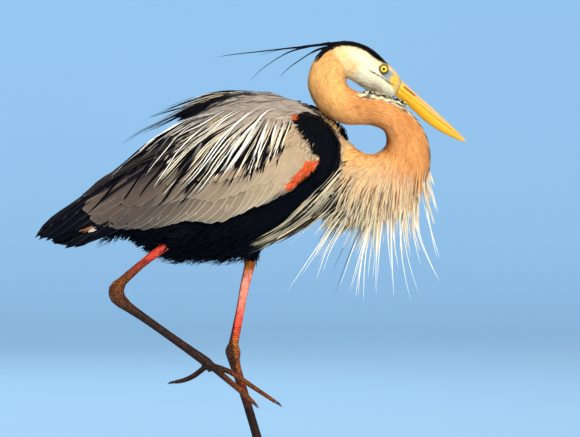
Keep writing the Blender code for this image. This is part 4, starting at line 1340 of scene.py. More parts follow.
class HERON_OT_neck_feathers(Operator):
    """Fine hair-like feathers down the neck"""

    bl_idname = "heron.neck_feathers"
    bl_label = "Neck Feathers"
    bl_options = {"REGISTER", "UNDO"}

    def execute(self, context):
        coat = Coat(2)

        def wanted(points, normals, part):
            return on(part, "neck_upper", "neck_middle", "neck_front")

        def reach(points, part):
            along, _ = neck_place(*side_view(points))
            return sizes().neck_feather * (1.15 - 0.5 * along)

        pile(
            coat, density=420000, lengths=reach, widths=0.0016, wanted=wanted, tint_jitter=0.10,
            lift=0.0012, stray=0.10, soft=0.7, base=0.0010,
        )
        mat = feather_material("silky_neck_plumage", 0.6, 0.04, 1.2, 0.0001, 0.10)
        finish_piece(coat.build("neck_feathers", mat), "plumage_buff")
        return {"FINISHED"}


class HERON_OT_breast_feathers(Operator):
    """Longer narrow feathers on the lower neck and breast, loosening into the plumes"""

    bl_idname = "heron.breast_feathers"
    bl_label = "Breast Feathers"
    bl_options = {"REGISTER", "UNDO"}

    def execute(self, context):
        coat = Coat(3)
        hues = colours()
        rng = coat.rng

        def wanted(points, normals, part):
            return on(part, "neck_lower", "breast_plumes") | (on(part, "trunk") & (points[:, 0] > 0.146))

        def reach(points, part):
            return 0.014 + 0.020 * soft_step(520, 450, points[:, 2] / MM)

        pile(
            coat, density=200000, lengths=reach, widths=0.0019, wanted=wanted, tint_jitter=0.11,
            lift=0.0017, rows=4, stray=0.10, soft=0.7, base=0.0010,
        )
        # loose ones that leave the breast and hang: cream, buff and brown, ending along a ragged line
        roots, normals, uv, part = body.scatter(body.area * 60000 * sizes().density, rng)
        x, z = side_view(roots)
        keep = wanted(roots, normals, part) & (rng.random(len(z)) < soft_step(505, 445, z)) & (z > 398)
        roots, normals, uv, part, x, z = roots[keep], normals[keep], uv[keep], part[keep], x[keep], z[keep]
        low = soft_step(485, 430, z)
        end = np.interp(x, [110, 134, 160, 194, 225, 264], [396, 382, 383, 398, 404, 436])
        long = np.clip(z - end, 14, 60) * rng.uniform(0.45, 1.1, len(z)) * MM
        line = hanging(roots, normals, lie_of_coat(roots, normals, part), long, 0.16, 0.5, 6, rng)
        base = coat_tint(roots, part)
        pick = rng.random(len(z)) / (0.08 + soft_step(240, 165, x))
        root, tip = mix(base, hues["cream"], 0.3 * low), mix(base, hues["cream"], 0.3 + 0.6 * low)
        brown = (pick < 0.29) & (low > 0.2)
        dark = (pick < 0.05) & (low > 0.4)
        tip[brown] = mix(hues["slate"], hues["buff_deep"] * 0.5, rng.random(brown.sum()))
        root[brown] = mix(base[brown], hues["slate"], 0.7)
        tip[dark] = hues["black"] * 2
        t = np.linspace(0, 1, 6)[None, :, None]
        tint = root[:, None] * (1 - t) + tip[:, None] * t
        up = np.repeat(normals[:, None], 6, axis=1)
        tangent = tidy(np.gradient(line, axis=1))
        up = tidy(up - tangent * (up * tangent).sum(2, keepdims=True))
        coat.vanes(line, up, rng.uniform(0.0012, 0.0022, len(z)), HAIR, tint, uv, camber=0.2, soft=0.4)
        mat = feather_material("silky_breast_plumage", 0.6, 0.04, 1.2, 0.0001, 0.10)
        finish_piece(coat.build("breast_feathers", mat), "plumage_buff")
        return {"FINISHED"}


class HERON_OT_belly_feathers(Operator):
    """Black feathers of the belly, thighs and vent, ragged along the lower edge"""

    bl_idname = "heron.belly_feathers"
    bl_label = "Belly Feathers"
    bl_options = {"REGISTER", "UNDO"}

    def execute(self, context):
        coat = Coat(4)

        def wanted(points, normals, part):
            x, z = side_view(points)
            return (
                on(part, "trunk", "thigh_right", "thigh_left") & (z < 545 - 0.2 * x) & (x < 150)
                & ((above_foot(x, z) < -2) | (x > 44))
            )

        def reach(points, part):
            thigh = on(part, "thigh_right", "thigh_left")
            return np.where(thigh, 0.7, 1.0) * sizes().belly_feather

        pile(
            coat, density=60000, lengths=reach, widths=0.0052, wanted=wanted, tint_jitter=0.25, lift=0.0030,
            rows=4, stray=0.16, soft=0.45,
        )

        def vent(points, normals, part):
            x = points[:, 0] / MM
            return on(part, "trunk", "thigh_right") & (normals[:, 2] < -0.15) & (x < 12) & (x > -215)

        pile(
            coat, density=26000, lengths=0.034, widths=0.0042, wanted=vent, tint_jitter=0.2, lift=0.012,
            rows=5, stray=0.3, soft=0.3,
        )
        self.garters(coat)
        mat = feather_material("loose_black_plumage", 0.6, 0.0, 1.6, 0.0002, 0.2)
        finish_piece(coat.build("belly_feathers", mat), "plumage_black")
        return {"FINISHED"}

    def garters(self, coat):
        """Loose black feathers that close over the top of each bare leg."""
        rng = coat.rng
        # the top of each leg, the way it points, and the number and length of its feathers
        right = (-122, -44, 374), (-0.72, -0.1, -0.69), 110, 0.019
        left = (-1, 27, 357), (-0.12, -0.05, -1.0), 200, 0.029
        for top, way, count, reach in (right, left):
            turn = rng.uniform(0, 2 * math.pi, count)
            axis = tidy(np.array(way, float))
            side = tidy(np.cross(axis, (0, 1, 0)))
            other = np.cross(axis, side)
            out = side * np.cos(turn)[:, None] + other * np.sin(turn)[:, None] * 0.8
            away, back = rng.uniform(8, 15, count)[:, None], rng.uniform(0, 14, count)[:, None]
            roots = (np.array(top) + out * away - axis * back) * MM
            lean = tidy(axis + out * rng.uniform(-0.45, 0.1, count)[:, None])
            line = hanging(roots, out, lean, reach * rng.uniform(0.5, 1.0, count), 0.0, 0.2, 6, rng)
            tint = np.tile(colours()["black"], (count, 6, 1))
            up = np.repeat(out[:, None], 6, axis=1)
            _, _, uv = body.nearest(roots)
            coat.vanes(line, up, rng.uniform(0.002, 0.0042, count), LANCE, tint, uv, camber=0.2, soft=0.3)


class HERON_OT_mantle_feathers(Operator):
    """Soft grey feathers between the wings and over the shoulders"""

    bl_idname = "heron.mantle_feathers"
    bl_label = "Mantle Feathers"
    bl_options = {"REGISTER", "UNDO"}

    def execute(self, context):
        coat = Coat(5)

        def wanted(points, normals, part):
            x, z = side_view(points)
            high = z > 541 - 0.10 * x
            trunk = on(part, "trunk") & (z > 500) & ((x > 60) | (z > 560))
            wing = on(part, "wing_right", "wing_left") & high & (x > -120)
            front = on(part, "neck_lower", "trunk") & (x > 100) & (x < 160) & (z > 440)
            return trunk | wing | front

        def reach(points, part):
            return sizes().mantle_feather * (0.6 + 0.4 * soft_step(150, 60, points[:, 0] / MM))

        pile(
            coat, density=90000, lengths=reach, widths=0.0042, wanted=wanted, tint_jitter=0.10, lift=0.0022,
            rows=4, stray=0.10, soft=0.65, base=0.0028,
        )

        def ridge(points, normals, part):
            x, z = side_view(points)
            return on(part, "trunk", "wing_right", "wing_left") & (z > 586) & (x > -58) & (x < 50)

        pile(
            coat, density=60000, lengths=0.036, widths=0.0036, wanted=ridge, tint_jitter=0.14, lift=0.003,
            rows=5, stray=0.14, soft=0.6, base=0.0058,
        )
        mat = feather_material("soft_grey_mantle", 0.62, 0.06, 1.4, 0.00015, 0.12)
        finish_piece(coat.build("mantle_feathers", mat), "plumage_grey")
        return {"FINISHED"}


def above_foot(x, z):
    """How far a side-view place lies above the lower edge of the folded wing."""
    foot = np.array(WING_FOOT[::-1], float)
    return z - np.interp(x, foot[:, 0], foot[:, 1])


class HERON_OT_wing_coverts(Operator):
    """Overlapping rows of small rounded feathers on the folded wings"""

    bl_idname = "heron.wing_coverts"
    bl_label = "Wing Coverts"
    bl_options = {"REGISTER", "UNDO"}

    def execute(self, context):
        coat = Coat(6)

        def wanted(points, normals, part):
            x, z = side_view(points)
            return (
                on(part, "wing_right", "wing_left") & (x > -215)
                & (above_foot(x, z) > 66 * soft_step(45, -25, x) - 4)
            )

        def reach(points, part):
            return sizes().covert * (0.7 + 0.3 * soft_step(80, 0, points[:, 0] / MM))

        pile(
            coat, density=90000, lengths=reach, widths=0.0085, wanted=wanted, tint_jitter=0.035,
            lift=0.0010, rows=6, shape=ROUND, thin=0.006, stray=0.07, soft=0.7, base=0.0016, rim=0.12,
            root_shade=0.93,
        )
        mat = feather_material("close_wing_coverts", 0.6, 0.04, 1.6, 0.0002, 0.10)
        finish_piece(coat.build("wing_coverts", mat), "plumage_grey")
        return {"FINISHED"}


def flank_feathers(
    coat, side, lines, width, shape, tints, lift, tilt=0.0, rim=0.0, soft=0.45, camber=0.05, rise=None,
    gather=None,
):
    """Long feathers laid on a flank along side-view lines, lift metres above the skin.

    gather is the share of its distance from the middle that each tip keeps.
    """
    places, normals = body.flank(np.asarray(lines, float), side)
    height = each(lift, len(places)) * np.ones(places.shape[1])[None]
    if rise is not None:
        height = height + rise[None] * np.ones((len(places), 1))
    places = places + normals * height[..., None]
    if gather is not None:
        places[..., 1] *= 1 + (gather[:, None] - 1) * soft_step(0.2, 1, np.linspace(0, 1, places.shape[1]))
    _, _, uv = body.nearest(places[:, 0])
    coat.vanes(
        places, normals, width, shape, tints, uv, camber=camber, tilt=-side * np.asarray(tilt), rim=rim,
        soft=soft,
    )


def shaded(tint, rows, root=0.75, tip=1.05):
    """A colour for each feather as a colour for each of its rows, darker at the root."""
    fade = np.linspace(root, tip, rows)[None, :, None]
    return np.clip(np.asarray(tint)[:, None] * fade, 0, 1)


class HERON_OT_flight_feathers(Operator):
    """Secondaries, greater coverts and tertials over the dark primaries of each folded wing"""

    bl_idname = "heron.flight_feathers"
    bl_label = "Flight Feathers"
    bl_options = {"REGISTER", "UNDO"}

    def execute(self, context):
        hues = colours()
        coat = Coat(7)
        for side in SIDES.values():
            self.primaries(coat, side, hues, 14)
            self.row(coat, side, 19, 0.16, 1.0, 0, (62, 104), 0.023, 0.0018, 0.5)
            self.row(coat, side, 14, 0.14, 0.80, 34, (50, 76), 0.021, 0.0028, 0.36)
            self.row(coat, side, 12, 0.12, 0.66, 62, (40, 56), 0.020, 0.0032, 0.2)
            self.tertials(coat, side, hues, 14)
            self.edge(coat, side, hues, 16)
        mat = feather_material("firm_flight_feathers", 0.55, 0.0, 2.0, 0.0002, 0.12)
        finish_piece(coat.build("flight_feathers", mat), "flight_feathers")
        return {"FINISHED"}

    def row(self, coat, side, count, first, last, rise, length, width, lift, rim, rows=14):
        """A row whose tips lie rise mm above the wing's lower edge, each feather over the one before it."""
        foot = resample(WING_FOOT, 200)
        share = np.linspace(first, last, count)
        tips = foot[(share * 199).astype(int)] + np.array([0.1, 1.0]) * rise
        tips = tips + coat.rng.normal(0, 0.7, (count, 2))
        angle = np.radians(np.interp(share, [0, 0.5, 1], [60, 46, 30]))
        reach = np.interp(share, [0, 1], length)[:, None, None]
        t = np.linspace(0, 1, rows)
        away = np.stack([np.cos(angle), np.sin(angle)], axis=1)[:, None]
        across = np.stack([np.sin(angle), -np.cos(angle)], axis=1)[:, None]
        bow = across * 0.07 * reach * np.sin(np.pi * t)[None, :, None]
        lines = tips[:, None] + away * (1 - t)[None, :, None] * reach + bow
        middle = lines[:, rows // 2]
        tint = wing_grey(middle[:, 0], middle[:, 1]) * (1 + coat.rng.normal(0, 0.03, count))[:, None]
        broad = width * (1 + 0.3 * soft_step(0.55, 1.0, share))
        flank_feathers(
            coat, side, lines, broad, ROUND, shaded(tint, rows, 0.84, 1.04),
            lift + 0.0034 * soft_step(0.55, 0.9, share), tilt=0.09,
            rim=rim * (0.8 - 0.65 * soft_step(0.45, 0.85, share)), rise=0.0008 * t, camber=0.02,
        )

    def tertials(self, coat, side, hues, rows):
        """Long slate feathers over the rear wing, the innermost on top."""
        roots, tips = np.array(TERTIALS, float).transpose(1, 0, 2)
        t = np.linspace(0, 1, rows)[None, :, None]
        bow = np.array([0.35, 1.0])[None, None] * 7 * np.sin(np.pi * t)
        lines = roots[:, None] * (1 - t) + tips[:, None] * t + bow
        darker = np.array([0.35, 0.9, 0.55, 0.9, 0.7, 0.95, 0.97])
        tint = mix(hues["slate"] * np.array([0.8, 0.85, 1.0]), hues["flight"], darker)
        flank_feathers(
            coat, side, lines, 0.019, POINTED, shaded(tint, rows, 0.8, 1.0),
            0.0050 + 0.0002 * np.arange(len(tips)), tilt=0.09, rim=0.08, camber=0.03,
        )

    def edge(self, coat, side, hues, rows):
        """Narrow navy feathers that follow the wing's upper edge down to its tip."""
        whole = resample(WING_TOP, 60)
        slope = tidy(np.gradient(whole, axis=0))
        across = np.stack([slope[:, 1], -slope[:, 0]], axis=1)
        even, taper = np.linspace(0, 1, 60), np.linspace(1, 0.55, 60)[:, None]
        # millimetres inside the edge, and where each feather starts and ends along it
        places = [(23, 0.10, 0.80), (17, 0.14, 0.86), (11, 0.2, 0.93), (6, 0.16, 0.985), (2.0, 0.22, 1.0)]
        lines, tints = [], []
        for inward, start, end in places:
            moved = whole + across * -inward * taper
            spots = np.linspace(start, end, rows)
            lines.append(np.stack([np.interp(spots, even, moved[:, k]) for k in (0, 1)], axis=1))
            tints.append(hues["flight"] * coat.rng.uniform(0.9, 1.8))
        flank_feathers(
            coat, side, lines, 0.0125, POINTED, shaded(np.array(tints), rows, 1.1, 1.0),
            0.0056 + 0.0003 * np.arange(len(lines)), tilt=0.08, rim=0.05, camber=0.03,
        )

    def primaries(self, coat, side, hues, rows):
        """The long blue-black wing tip, stepped at its end."""
        roots, tips = np.array(PRIMARIES, float).transpose(1, 0, 2)
        t = np.linspace(0, 1, rows)[None, :, None]
        bow = np.array([0.5, 1.0])[None, None] * 7 * np.sin(np.pi * t)
        lines = roots[:, None] * (1 - t) + tips[:, None] * t + bow
        tint = np.tile(hues["flight"], (len(tips), 1)) * coat.rng.uniform(0.9, 1.6, len(tips))[:, None]
        lift = 0.0034 - 0.0001 * np.arange(len(tips))
        flank_feathers(
            coat, side, lines, 0.018, POINTED, shaded(tint, rows, 1.0, 1.0), lift, tilt=0.07, rim=0.03,
            camber=0.03,
        )
        # one white and one rusty vane that show between the dark ones
        white = [(-224, 398), (-232, 394), (-241, 389), (-252, 383)]
        rusty = [(-226, 398), (-243, 392.5), (-254, 392), (-266, 389)]
        marks = np.array([resample(line, rows) for line in (white, rusty)])
        tint = np.array([hues["white"] * 0.5, mix(hues["buff_deep"], hues["slate"], 0.45)])
        shape = [(0, 0.3), (0.3, 0.9), (0.8, 1), (1, 0.2)]
        flank_feathers(coat, side, marks, 0.0055, shape, shaded(tint, rows, 1.0, 1.0), 0.011, camber=0.05)


class HERON_OT_tail_feathers(Operator):
    """Twelve short dark tail feathers under the wing tips"""

    bl_idname = "heron.tail_feathers"
    bl_label = "Tail Feathers"
    bl_options = {"REGISTER", "UNDO"}

    def execute(self, context):
        hues = colours()
        coat = Coat(8)
        rows = 10
        t = np.linspace(0, 1, rows)[None, :, None]
        spread = np.linspace(-1, 1, 12)
        roots = np.stack([-205 + 0 * spread, 16 * spread, 402 + 4 * np.abs(spread)], axis=1)
        tips = np.stack([-312 + 5 * spread**2, 28 * spread, 370.5 + 3.0 * (1 - spread**2)], axis=1)
        lines = roots[:, None] * (1 - t) + tips[:, None] * t + np.array([0, 0, 5.0]) * np.sin(np.pi * t)
        up = np.stack([-0.3 + 0 * spread, 0.5 * spread, 1 + 0 * spread], axis=1)[:, None]
        tint = np.tile(hues["flight"], (12, 1)) * coat.rng.uniform(0.8, 1.3, 12)[:, None]
        strands(coat, lines * MM, 0.020, ROUND, shaded(tint, rows, 1, 1), up_way=up, camber=0.05)
        mat = feather_material("firm_tail_feathers", 0.55, 0.0, 2.0, 0.0003, 0.10)
        finish_piece(coat.build("tail_feathers", mat), "flight_feathers")
        return {"FINISHED"}


class HERON_OT_scapular_plumes(Operator):
    """Long white and blue-black lanceolate plumes that hang from the shoulders over the wings"""

    bl_idname = "heron.scapular_plumes"
    bl_label = "Scapular Plumes"
    bl_options = {"REGISTER", "UNDO"}

    def execute(self, context):
        hues = colours()
        coat = Coat(9)
        rng = coat.rng
        rows = 12
        family = np.array([resample(line, rows) for line in SCAPULAR_LINES])
        spots = np.linspace(0, 1, rows)[None, :, None]
        # kind, number, width and lift in millimetres, latest start, usual end and its spread
        layers = (
            ("grey", 150, 4.6, 3.0, 0.35, 0.55, 0.18), ("dark", 130, 5.4, 3.4, 0.35, 1.16, 0.10),
            ("grey", 80, 2.6, 4.0, 0.25, 0.36, 0.14), ("white", 50, 2.4, 4.8, 0.30, 1.02, 0.09),
            ("fine", 84, 1.3, 4.8, 0.30, 0.62, 0.22), ("dark", 30, 2.6, 5.4, 0.45, 1.2, 0.10),
        )
        # the plumes that show most, two to a line: their width, lift, colour and how far they lie behind it
        shown = (
            # the dark copy of each white line, a little behind it, is a painted shadow along the white
            # plume's edge
            (DARK_SCAPULARS, 5.8, 7.6, "flight", 0), (WHITE_SCAPULARS, 2.8, 7.4, "flight", 2.2),
            (WHITE_SCAPULARS, 2.1, 8.0, "white", 0),
        )
        for side in SIDES.values():
            for kind, count, width, lift, latest, usual, spread in layers:
                place = (np.arange(count) + rng.uniform(0.1, 0.9, count)) / count * (len(family) - 1)
                start = rng.uniform(0.0, latest, count)
                end = np.clip(rng.normal(usual, spread, count), start + 0.2, 1.3)
                lines = cut(between(family, place), start, end)
                lines = lines + rng.normal(0, 2.2, (count, 1, 2)) * np.array([1.0, 0.6])
                lines = lines + rng.normal(0, 2.4, (count, 1, 1)) * spots**2 * np.array([0.7, -0.7])
                if kind == "dark":
                    root = 0.2 * hues["slate"] * (1 - soft_step(0.05, 0.3, spots))
                    colour = np.tile(hues["flight"], (count, rows, 1)) + root
                elif kind == "grey":
                    tint = mix(hues["mantle"], hues["slate"], rng.random(count) * 0.6)
                    tint = mix(tint, hues["flight"], 0.6 * soft_step(3.2, 0.3, place))
                    colour = shaded(tint, rows, 0.95, 0.9)
                else:
                    other = hues["white"] if kind == "white" else hues["mantle"]
                    tint = mix(hues["cream"], other, rng.random(count))[:, None] * np.ones((1, rows, 1))
                    colour = mix(tint, hues["mantle"], 0.8 * (1 - soft_step(0.02, 0.45, spots[..., 0])))
                broad = width * MM * rng.uniform(0.6, 1.2, count)
                flank_feathers(
                    coat, side, lines, broad, LANCE, colour, (lift + rng.uniform(0, 1.0, count)) * MM,
                    camber=0.14, soft=0.4, tilt=0.08,
                )
            for table, wide, lift, shade, back in shown:
                lines = np.repeat([resample(line, rows) for line in table], 2, axis=0)
                lines = lines + rng.normal(0, 0.8, (2 * len(table), 1, 2))
                lines = lines - np.array([back, 0.7 * back])
                tint = np.tile(hues[shade], (len(lines), rows, 1))
                tint = mix(tint, hues["mantle"], 0.7 * (1 - soft_step(0.0, 0.3, spots[..., 0])))
                flank_feathers(
                    coat, side, lines, wide * MM * rng.uniform(0.6, 1.0, len(lines)), LANCE, tint,
                    lift * MM, camber=0.14, soft=0.4, tilt=0.08,
                )
        mat = feather_material("silky_scapular_plumes", 0.5, 0.0, 1.6, 0.0002, 0.08)
        finish_piece(coat.build("scapular_plumes", mat), "plumage_grey")
        return {"FINISHED"}


class HERON_OT_shoulder_feathers(Operator):
    """Blue-black feathers at the bend of each wing, ragged behind, with the rust edge under them"""

    bl_idname = "heron.shoulder_feathers"
    bl_label = "Shoulder Feathers"
    bl_options = {"REGISTER", "UNDO"}

    def execute(self, context):
        coat = Coat(10)

        def wanted(points, normals, part):
            x, z = side_view(points)
            far = points[:, 1] > 0
            x, z = x - FAR_SHOULDER[0] * far, z - FAR_SHOULDER[1] * far
            marked = patch(SHOULDER_PATCH, x, z, 2) + patch(RUST_PATCH, x, z, 2) > 0.4
            side = np.abs(points[:, 1]) > 0.02
            return (
                (marked | on(part, "shoulder_right", "shoulder_left")) & side & ~on(part, "neck_lower")
                & (points[:, 0] < 0.155)
            )

        pile(
            coat, density=190000, lengths=0.012, widths=0.0028, wanted=wanted, tint_jitter=0.3, lift=0.0018,
            rows=4, stray=0.14, soft=0.6, base=0.0026,
        )
        mat = feather_material("velvet_shoulder_plumage", 0.6, 0.0, 1.4, 0.0002, 0.15)
        finish_piece(coat.build("shoulder_feathers", mat), "plumage_black")
        return {"FINISHED"}


class HERON_OT_breast_plumes(Operator):
    """Long loose plumes that hang from the breast, cream at the root and white at the tip"""

    bl_idname = "heron.breast_plumes"
    bl_label = "Breast Plumes"
    bl_options = {"REGISTER", "UNDO"}

    def execute(self, context):
        hues = colours()
        coat = Coat(11)
        rng = coat.rng
        rows = 12
        t = np.linspace(0, 1, rows)[None, :, None]
        family = np.array([resample(line, rows) for line in BREAST_LINES])
        family = family[np.argsort(family[:, 1, 0] + family[:, -1, 0] * 0.6)]
        flank = np.array([resample(line, rows) for line in FLANK_LINES])
        for side in SIDES.values():
            # long ones, white at the tip
            count = len(family)
            lines, start = self.loosen(rng, family, 2.5, 7.0), rng.uniform(0.0, 0.22, count)
            lines = cut(lines, start, np.clip(1 - np.abs(rng.normal(0, 0.12, count)), 0.6, 1))
            ground = mix(hues["buff"] * 0.9, hues["cream"], 0.35 + 0.4 * rng.random(count))[:, None]
            whiter = soft_step(0.05, 0.55, t[..., 0]) * np.ones((count, 1))
            tint = mix(ground * np.ones((1, rows, 1)), hues["white"], whiter)
            tint[(rng.random(count) > 0.85) & (lines[:, 0, 0] < 200)] = hues["slate"] * 0.3
            flank_feathers(
                coat, side, lines, rng.uniform(0.0010, 0.0016, count), FINE, tint,
                0.002 + rng.uniform(0, 0.003, count), camber=0.2, soft=0.3,
                gather=rng.uniform(0.1, 1.0, count),
            )
            # shorter ones between them, cream, brown and some black
            count = 190
            base = self.loosen(rng, between(family, rng.random(count) * (len(family) - 1.001)), 5.0, 7.0)
            start = rng.uniform(0.0, 0.3, count)
            lines = cut(base, start, start + rng.uniform(0.18, 0.42, count))
            root = mix(hues["buff"] * 0.85, hues["cream"] * 0.9, rng.random(count))[:, None]
            tint = root * (1 - t) + hues["cream"] * t
            tone = rng.random(count) - 0.5 * soft_step(160, 225, lines[:, 0, 0])
            brown = tone > 0.70
            tint[brown] = mix(hues["slate"], hues["buff_deep"] * 0.6, rng.random(brown.sum()))[:, None]
            tint[(tone > 0.88) & (lines[:, 0, 0] < 190)] = hues["black"] * 2
            flank_feathers(
                coat, side, lines, rng.uniform(0.0011, 0.0021, count), FINE, tint,
                0.0015 + rng.uniform(0, 0.003, count), camber=0.2, soft=0.3,
                gather=rng.uniform(0.2, 1.0, count),
            )
            # streaks along the flank
            count = 230
            base = self.loosen(rng, between(flank, rng.random(count) * (len(flank) - 1.001)), 5.0, 5.0)
            start = rng.uniform(0.0, 0.55, count)
            lines = cut(base, start, start + rng.uniform(0.25, 0.5, count))
            pale = (rng.random(count) < 0.5)[:, None]
            light = mix(hues["cream"], hues["covert"], rng.random(count) * 0.8)
            tint = np.where(pale, light, mix(hues["black"], hues["slate"] * 0.4, rng.random(count)))
            flank_feathers(
                coat, side, lines, rng.uniform(0.0013, 0.0026, count), LANCE,
                shaded(tint, rows, 0.85, 1.05), 0.002 + rng.uniform(0, 0.004, count), camber=0.16, soft=0.3,
            )
        mat = feather_material("loose_breast_plumes", 0.5, 0.03, 1.6, 0.0001, 0.06)
        finish_piece(coat.build("breast_plumes_coat", mat), "plumage_white", "breast_plumes")
        return {"FINISHED"}

    def loosen(self, rng, lines, root_jitter, tip_jitter):
        """Moves each line's root and tip a little."""
        n, rows = lines.shape[:2]
        t = np.linspace(0, 1, rows)[None, :, None]
        moved = lines + rng.normal(0, root_jitter, (n, 1, 2)) * (1 - t) * np.array([1, 0.5])
        return moved + rng.normal(0, tip_jitter, (n, 1, 2)) * t * np.array([1, 0.35])


class HERON_OT_crest_plumes(Operator):
    """The black head plumes that trail from the nape"""

    bl_idname = "heron.crest_plumes"
    bl_label = "Crest Plumes"
    bl_options = {"REGISTER", "UNDO"}

    def execute(self, context):
        hues = colours()
        coat = Coat(12)
        rng = coat.rng
        rows = 16
        lines, widths = [], []
        for line, wide in zip(CREST, (2.6, 1.3, 1.7, 2.0)):
            # each plume is a long strand with two shorter ones along it
            base = resample(line, rows)
            for reach in (1.0, 0.55, 0.35):
                spots = np.linspace(0, 1, rows)
                short = np.stack([np.interp(spots * reach, spots, base[:, k]) for k in range(3)], axis=1)
                lines.append(short + rng.normal(0, 0.9, (1, 3)) * (reach < 1))
                widths.append(wide * MM)
        lines = np.array(lines) * MM
        tint = shaded(np.tile(hues["flight"] * 0.9, (len(lines), 1)), rows, 1.0, 1.1)
        strands(coat, lines, np.array(widths), HAIR, tint, camber=0.22)
        # small feathers of the nape cover the roots of the plumes
        nape = []
        for _ in range(90):
            x, y = rng.uniform(110, 150), rng.uniform(-13, 13)
            z = np.interp(x, [98, 110, 122, 130, 148], [658, 670, 678, 680.5, 683]) - 0.05 * y * y
            reach = rng.uniform(9, 20)
            drop = np.interp(x, [110, 120, 148], [0.8, 0.55, 0.1]) + rng.uniform(-0.15, 0.15)
            t = np.linspace(0, 1, rows)[:, None]
            line = np.array([[x, y, z]]) + t * reach * np.array([[-0.85, 0.1 * np.sign(y), -drop]])
            nape.append(line + t**2 * np.array([[0, 0, -2.0]]))
        tint = shaded(np.tile(hues["black"], (len(nape), 1)), rows, 1.0, 1.0)
        strands(coat, np.array(nape) * MM, rng.uniform(0.0016, 0.003, len(nape)), LANCE, tint, camber=0.2)
        mat = feather_material("glossy_crest_plumes", 0.45, 0.0, 1.6, 0.0001, 0.08)
        obj = coat.build("crest_plumes", mat)
        finish_piece(obj, "flight_feathers", "crest_1", "crest_2", "crest_3", "crest_4")
        return {"FINISHED"}


class HERON_OT_back_plumes(Operator):
    """Loose black and grey filaments that lift off the back"""

    bl_idname = "heron.back_plumes"
    bl_label = "Back Plumes"
    bl_options = {"REGISTER", "UNDO"}

    def execute(self, context):
        hues = colours()
        coat = Coat(13)
        rng = coat.rng
        rows = 12
        t = np.linspace(0, 1, rows)
        # lines, number, reach to either side in mm, usual end and its spread, and share of the usual width
        tables = (BACK_LINES, 90, 26, 0.62, 0.22, 1), (LONE_PLUMES, 12, 16, 0.95, 0.04, 1.3)
        for table, count, wide, usual, spread, broad in tables:
            lone = table is LONE_PLUMES
            family = np.array([resample(line, rows) for line in table])
            place = np.arange(count) % len(family) if lone else rng.random(count) * (len(family) - 1)
            flat = between(family, place) + rng.normal(0, 1.4, (count, 1, 2))
            flat = flat + rng.normal(0, 3.0, (count, 1, 2)) * t[:, None] ** 1.5 * np.array([1.0, 0.7])
            start = rng.uniform(0, 0.3, count)
            flat = cut(flat, start, np.clip(rng.normal(usual, spread, count), 0.4, 1.0))
            y = rng.uniform(-wide, wide, count)[:, None] * (1 - 0.45 * t)
            lines = np.stack([flat[..., 0], y, flat[..., 1] - 0.0016 * y * y * (1 - 0.5 * t)], axis=2) * MM
            dark = (rng.random(count) < 0.5) | lone
            grey = mix(hues["mantle"], hues["cream"], rng.random(count) * 0.6)
            tint = np.where(dark[:, None], hues["flight"], grey)
            outward = np.where(y[:, 0] < 0, -0.85, 0.85)
            facing = np.stack([np.zeros(count), outward, np.full(count, 0.55)], axis=1)[:, None]
            strands(
                coat, lines, rng.uniform(0.0009, 0.0017, count) * broad, HAIR,
                shaded(tint, rows, 1.0, 1.1), up_way=facing, camber=0.18,
            )
        family = np.array([resample(line, rows) for line in DARK_TUFT])
        for side in SIDES.values():
            count = 90
            lines = between(family, rng.random(count) * (len(family) - 1)) + rng.normal(0, 1.4, (count, 1, 2))
            lines = cut(lines, rng.uniform(0, 0.35, count), np.clip(rng.normal(0.95, 0.1, count), 0.6, 1.15))
            tint = np.tile(hues["flight"], (count, 1))
            flank_feathers(
                coat, side, lines, rng.uniform(0.0016, 0.0034, count), LANCE, shaded(tint, rows, 1.0, 1.1),
                0.004 + rng.uniform(0, 0.003, count), camber=0.16, soft=0.3,
                gather=rng.uniform(0.4, 1.0, count),
            )
        mat = feather_material("loose_back_plumes", 0.55, 0.0, 1.6, 0.0001, 0.08)
        finish_piece(coat.build("back_plumes_coat", mat), "flight_feathers", "back_plumes")
        return {"FINISHED"}


def beside(x, z, start, end):
    """Where places lie along a line in the side view, as a share of its length, and how far off it in mm."""
    span = np.array(end) - start
    share = np.clip(((x - start[0]) * span[0] + (z - start[1]) * span[1]) / (span @ span), 0, 1)
    return share, np.hypot(x - start[0] - share * span[0], z - start[1] - share * span[1])


class HERON_OT_bill(Operator):
    """The two jaws with the nostril slits and the groove before them"""

    bl_idname = "heron.bill"
    bl_label = "Bill"
    bl_options = {"REGISTER", "UNDO"}

    def execute(self, context):
        hues = colours()
        mat = horn_material("layered_bill_horn", 0.36, 0.10, 260.0, coat=0.04)
        for name in ("bill_upper", "bill_lower"):
            upper = name == "bill_upper"
            mesh = remeshed(merged_copy([name]), name, 0.0007, 0.5, 6)
            places = read(mesh.vertices, "co", 3).astype(float)
            x, y, z = places[:, 0] / MM, places[:, 1] / MM, places[:, 2] / MM
            gap = beside(x, z, *NOSTRIL)[1]
            slit = soft_step(1.9, 0.3, gap) * (np.abs(y) > 2.5) * upper
            along, away = beside(x, z, NOSTRIL[0], GROOVE_END)
            groove = soft_step(2.6, 0.4, away) * (1 - along) * (np.abs(y) > 2.5) * upper
            places[:, 1] -= np.sign(places[:, 1]) * (1.5 * slit + 0.5 * groove) * MM
            mesh.vertices.foreach_set("co", places.astype(np.float32).ravel())
            height = (x - BILL_ROOT[0]) * -BILL_WAY[1] + (z - BILL_ROOT[1]) * BILL_WAY[0]
            run = (x - BILL_ROOT[0]) * BILL_WAY[0] + (z - BILL_ROOT[1]) * BILL_WAY[1]
            top = soft_step(-9, -1.5, height) * upper
            tint = np.tile(hues["bill"], (len(places), 1))
            tint = mix(tint, hues["bill_ridge"], 0.8 * top * soft_step(125, 60, run))
            tint = mix(tint, hues["buff_deep"], 0.35 * groove)
            tint = mix(tint, hues["skin_yellow"], 0.5 * soft_step(14, 0, run))
            tint = mix(tint, np.array(linear("7A1F12")), 0.95 * slit)
            paint_vertices(mesh, tint, np.zeros(len(places)))
            finish_piece(new_object(name + "_horn", mesh, mat), "bill", name)
        return {"FINISHED"}


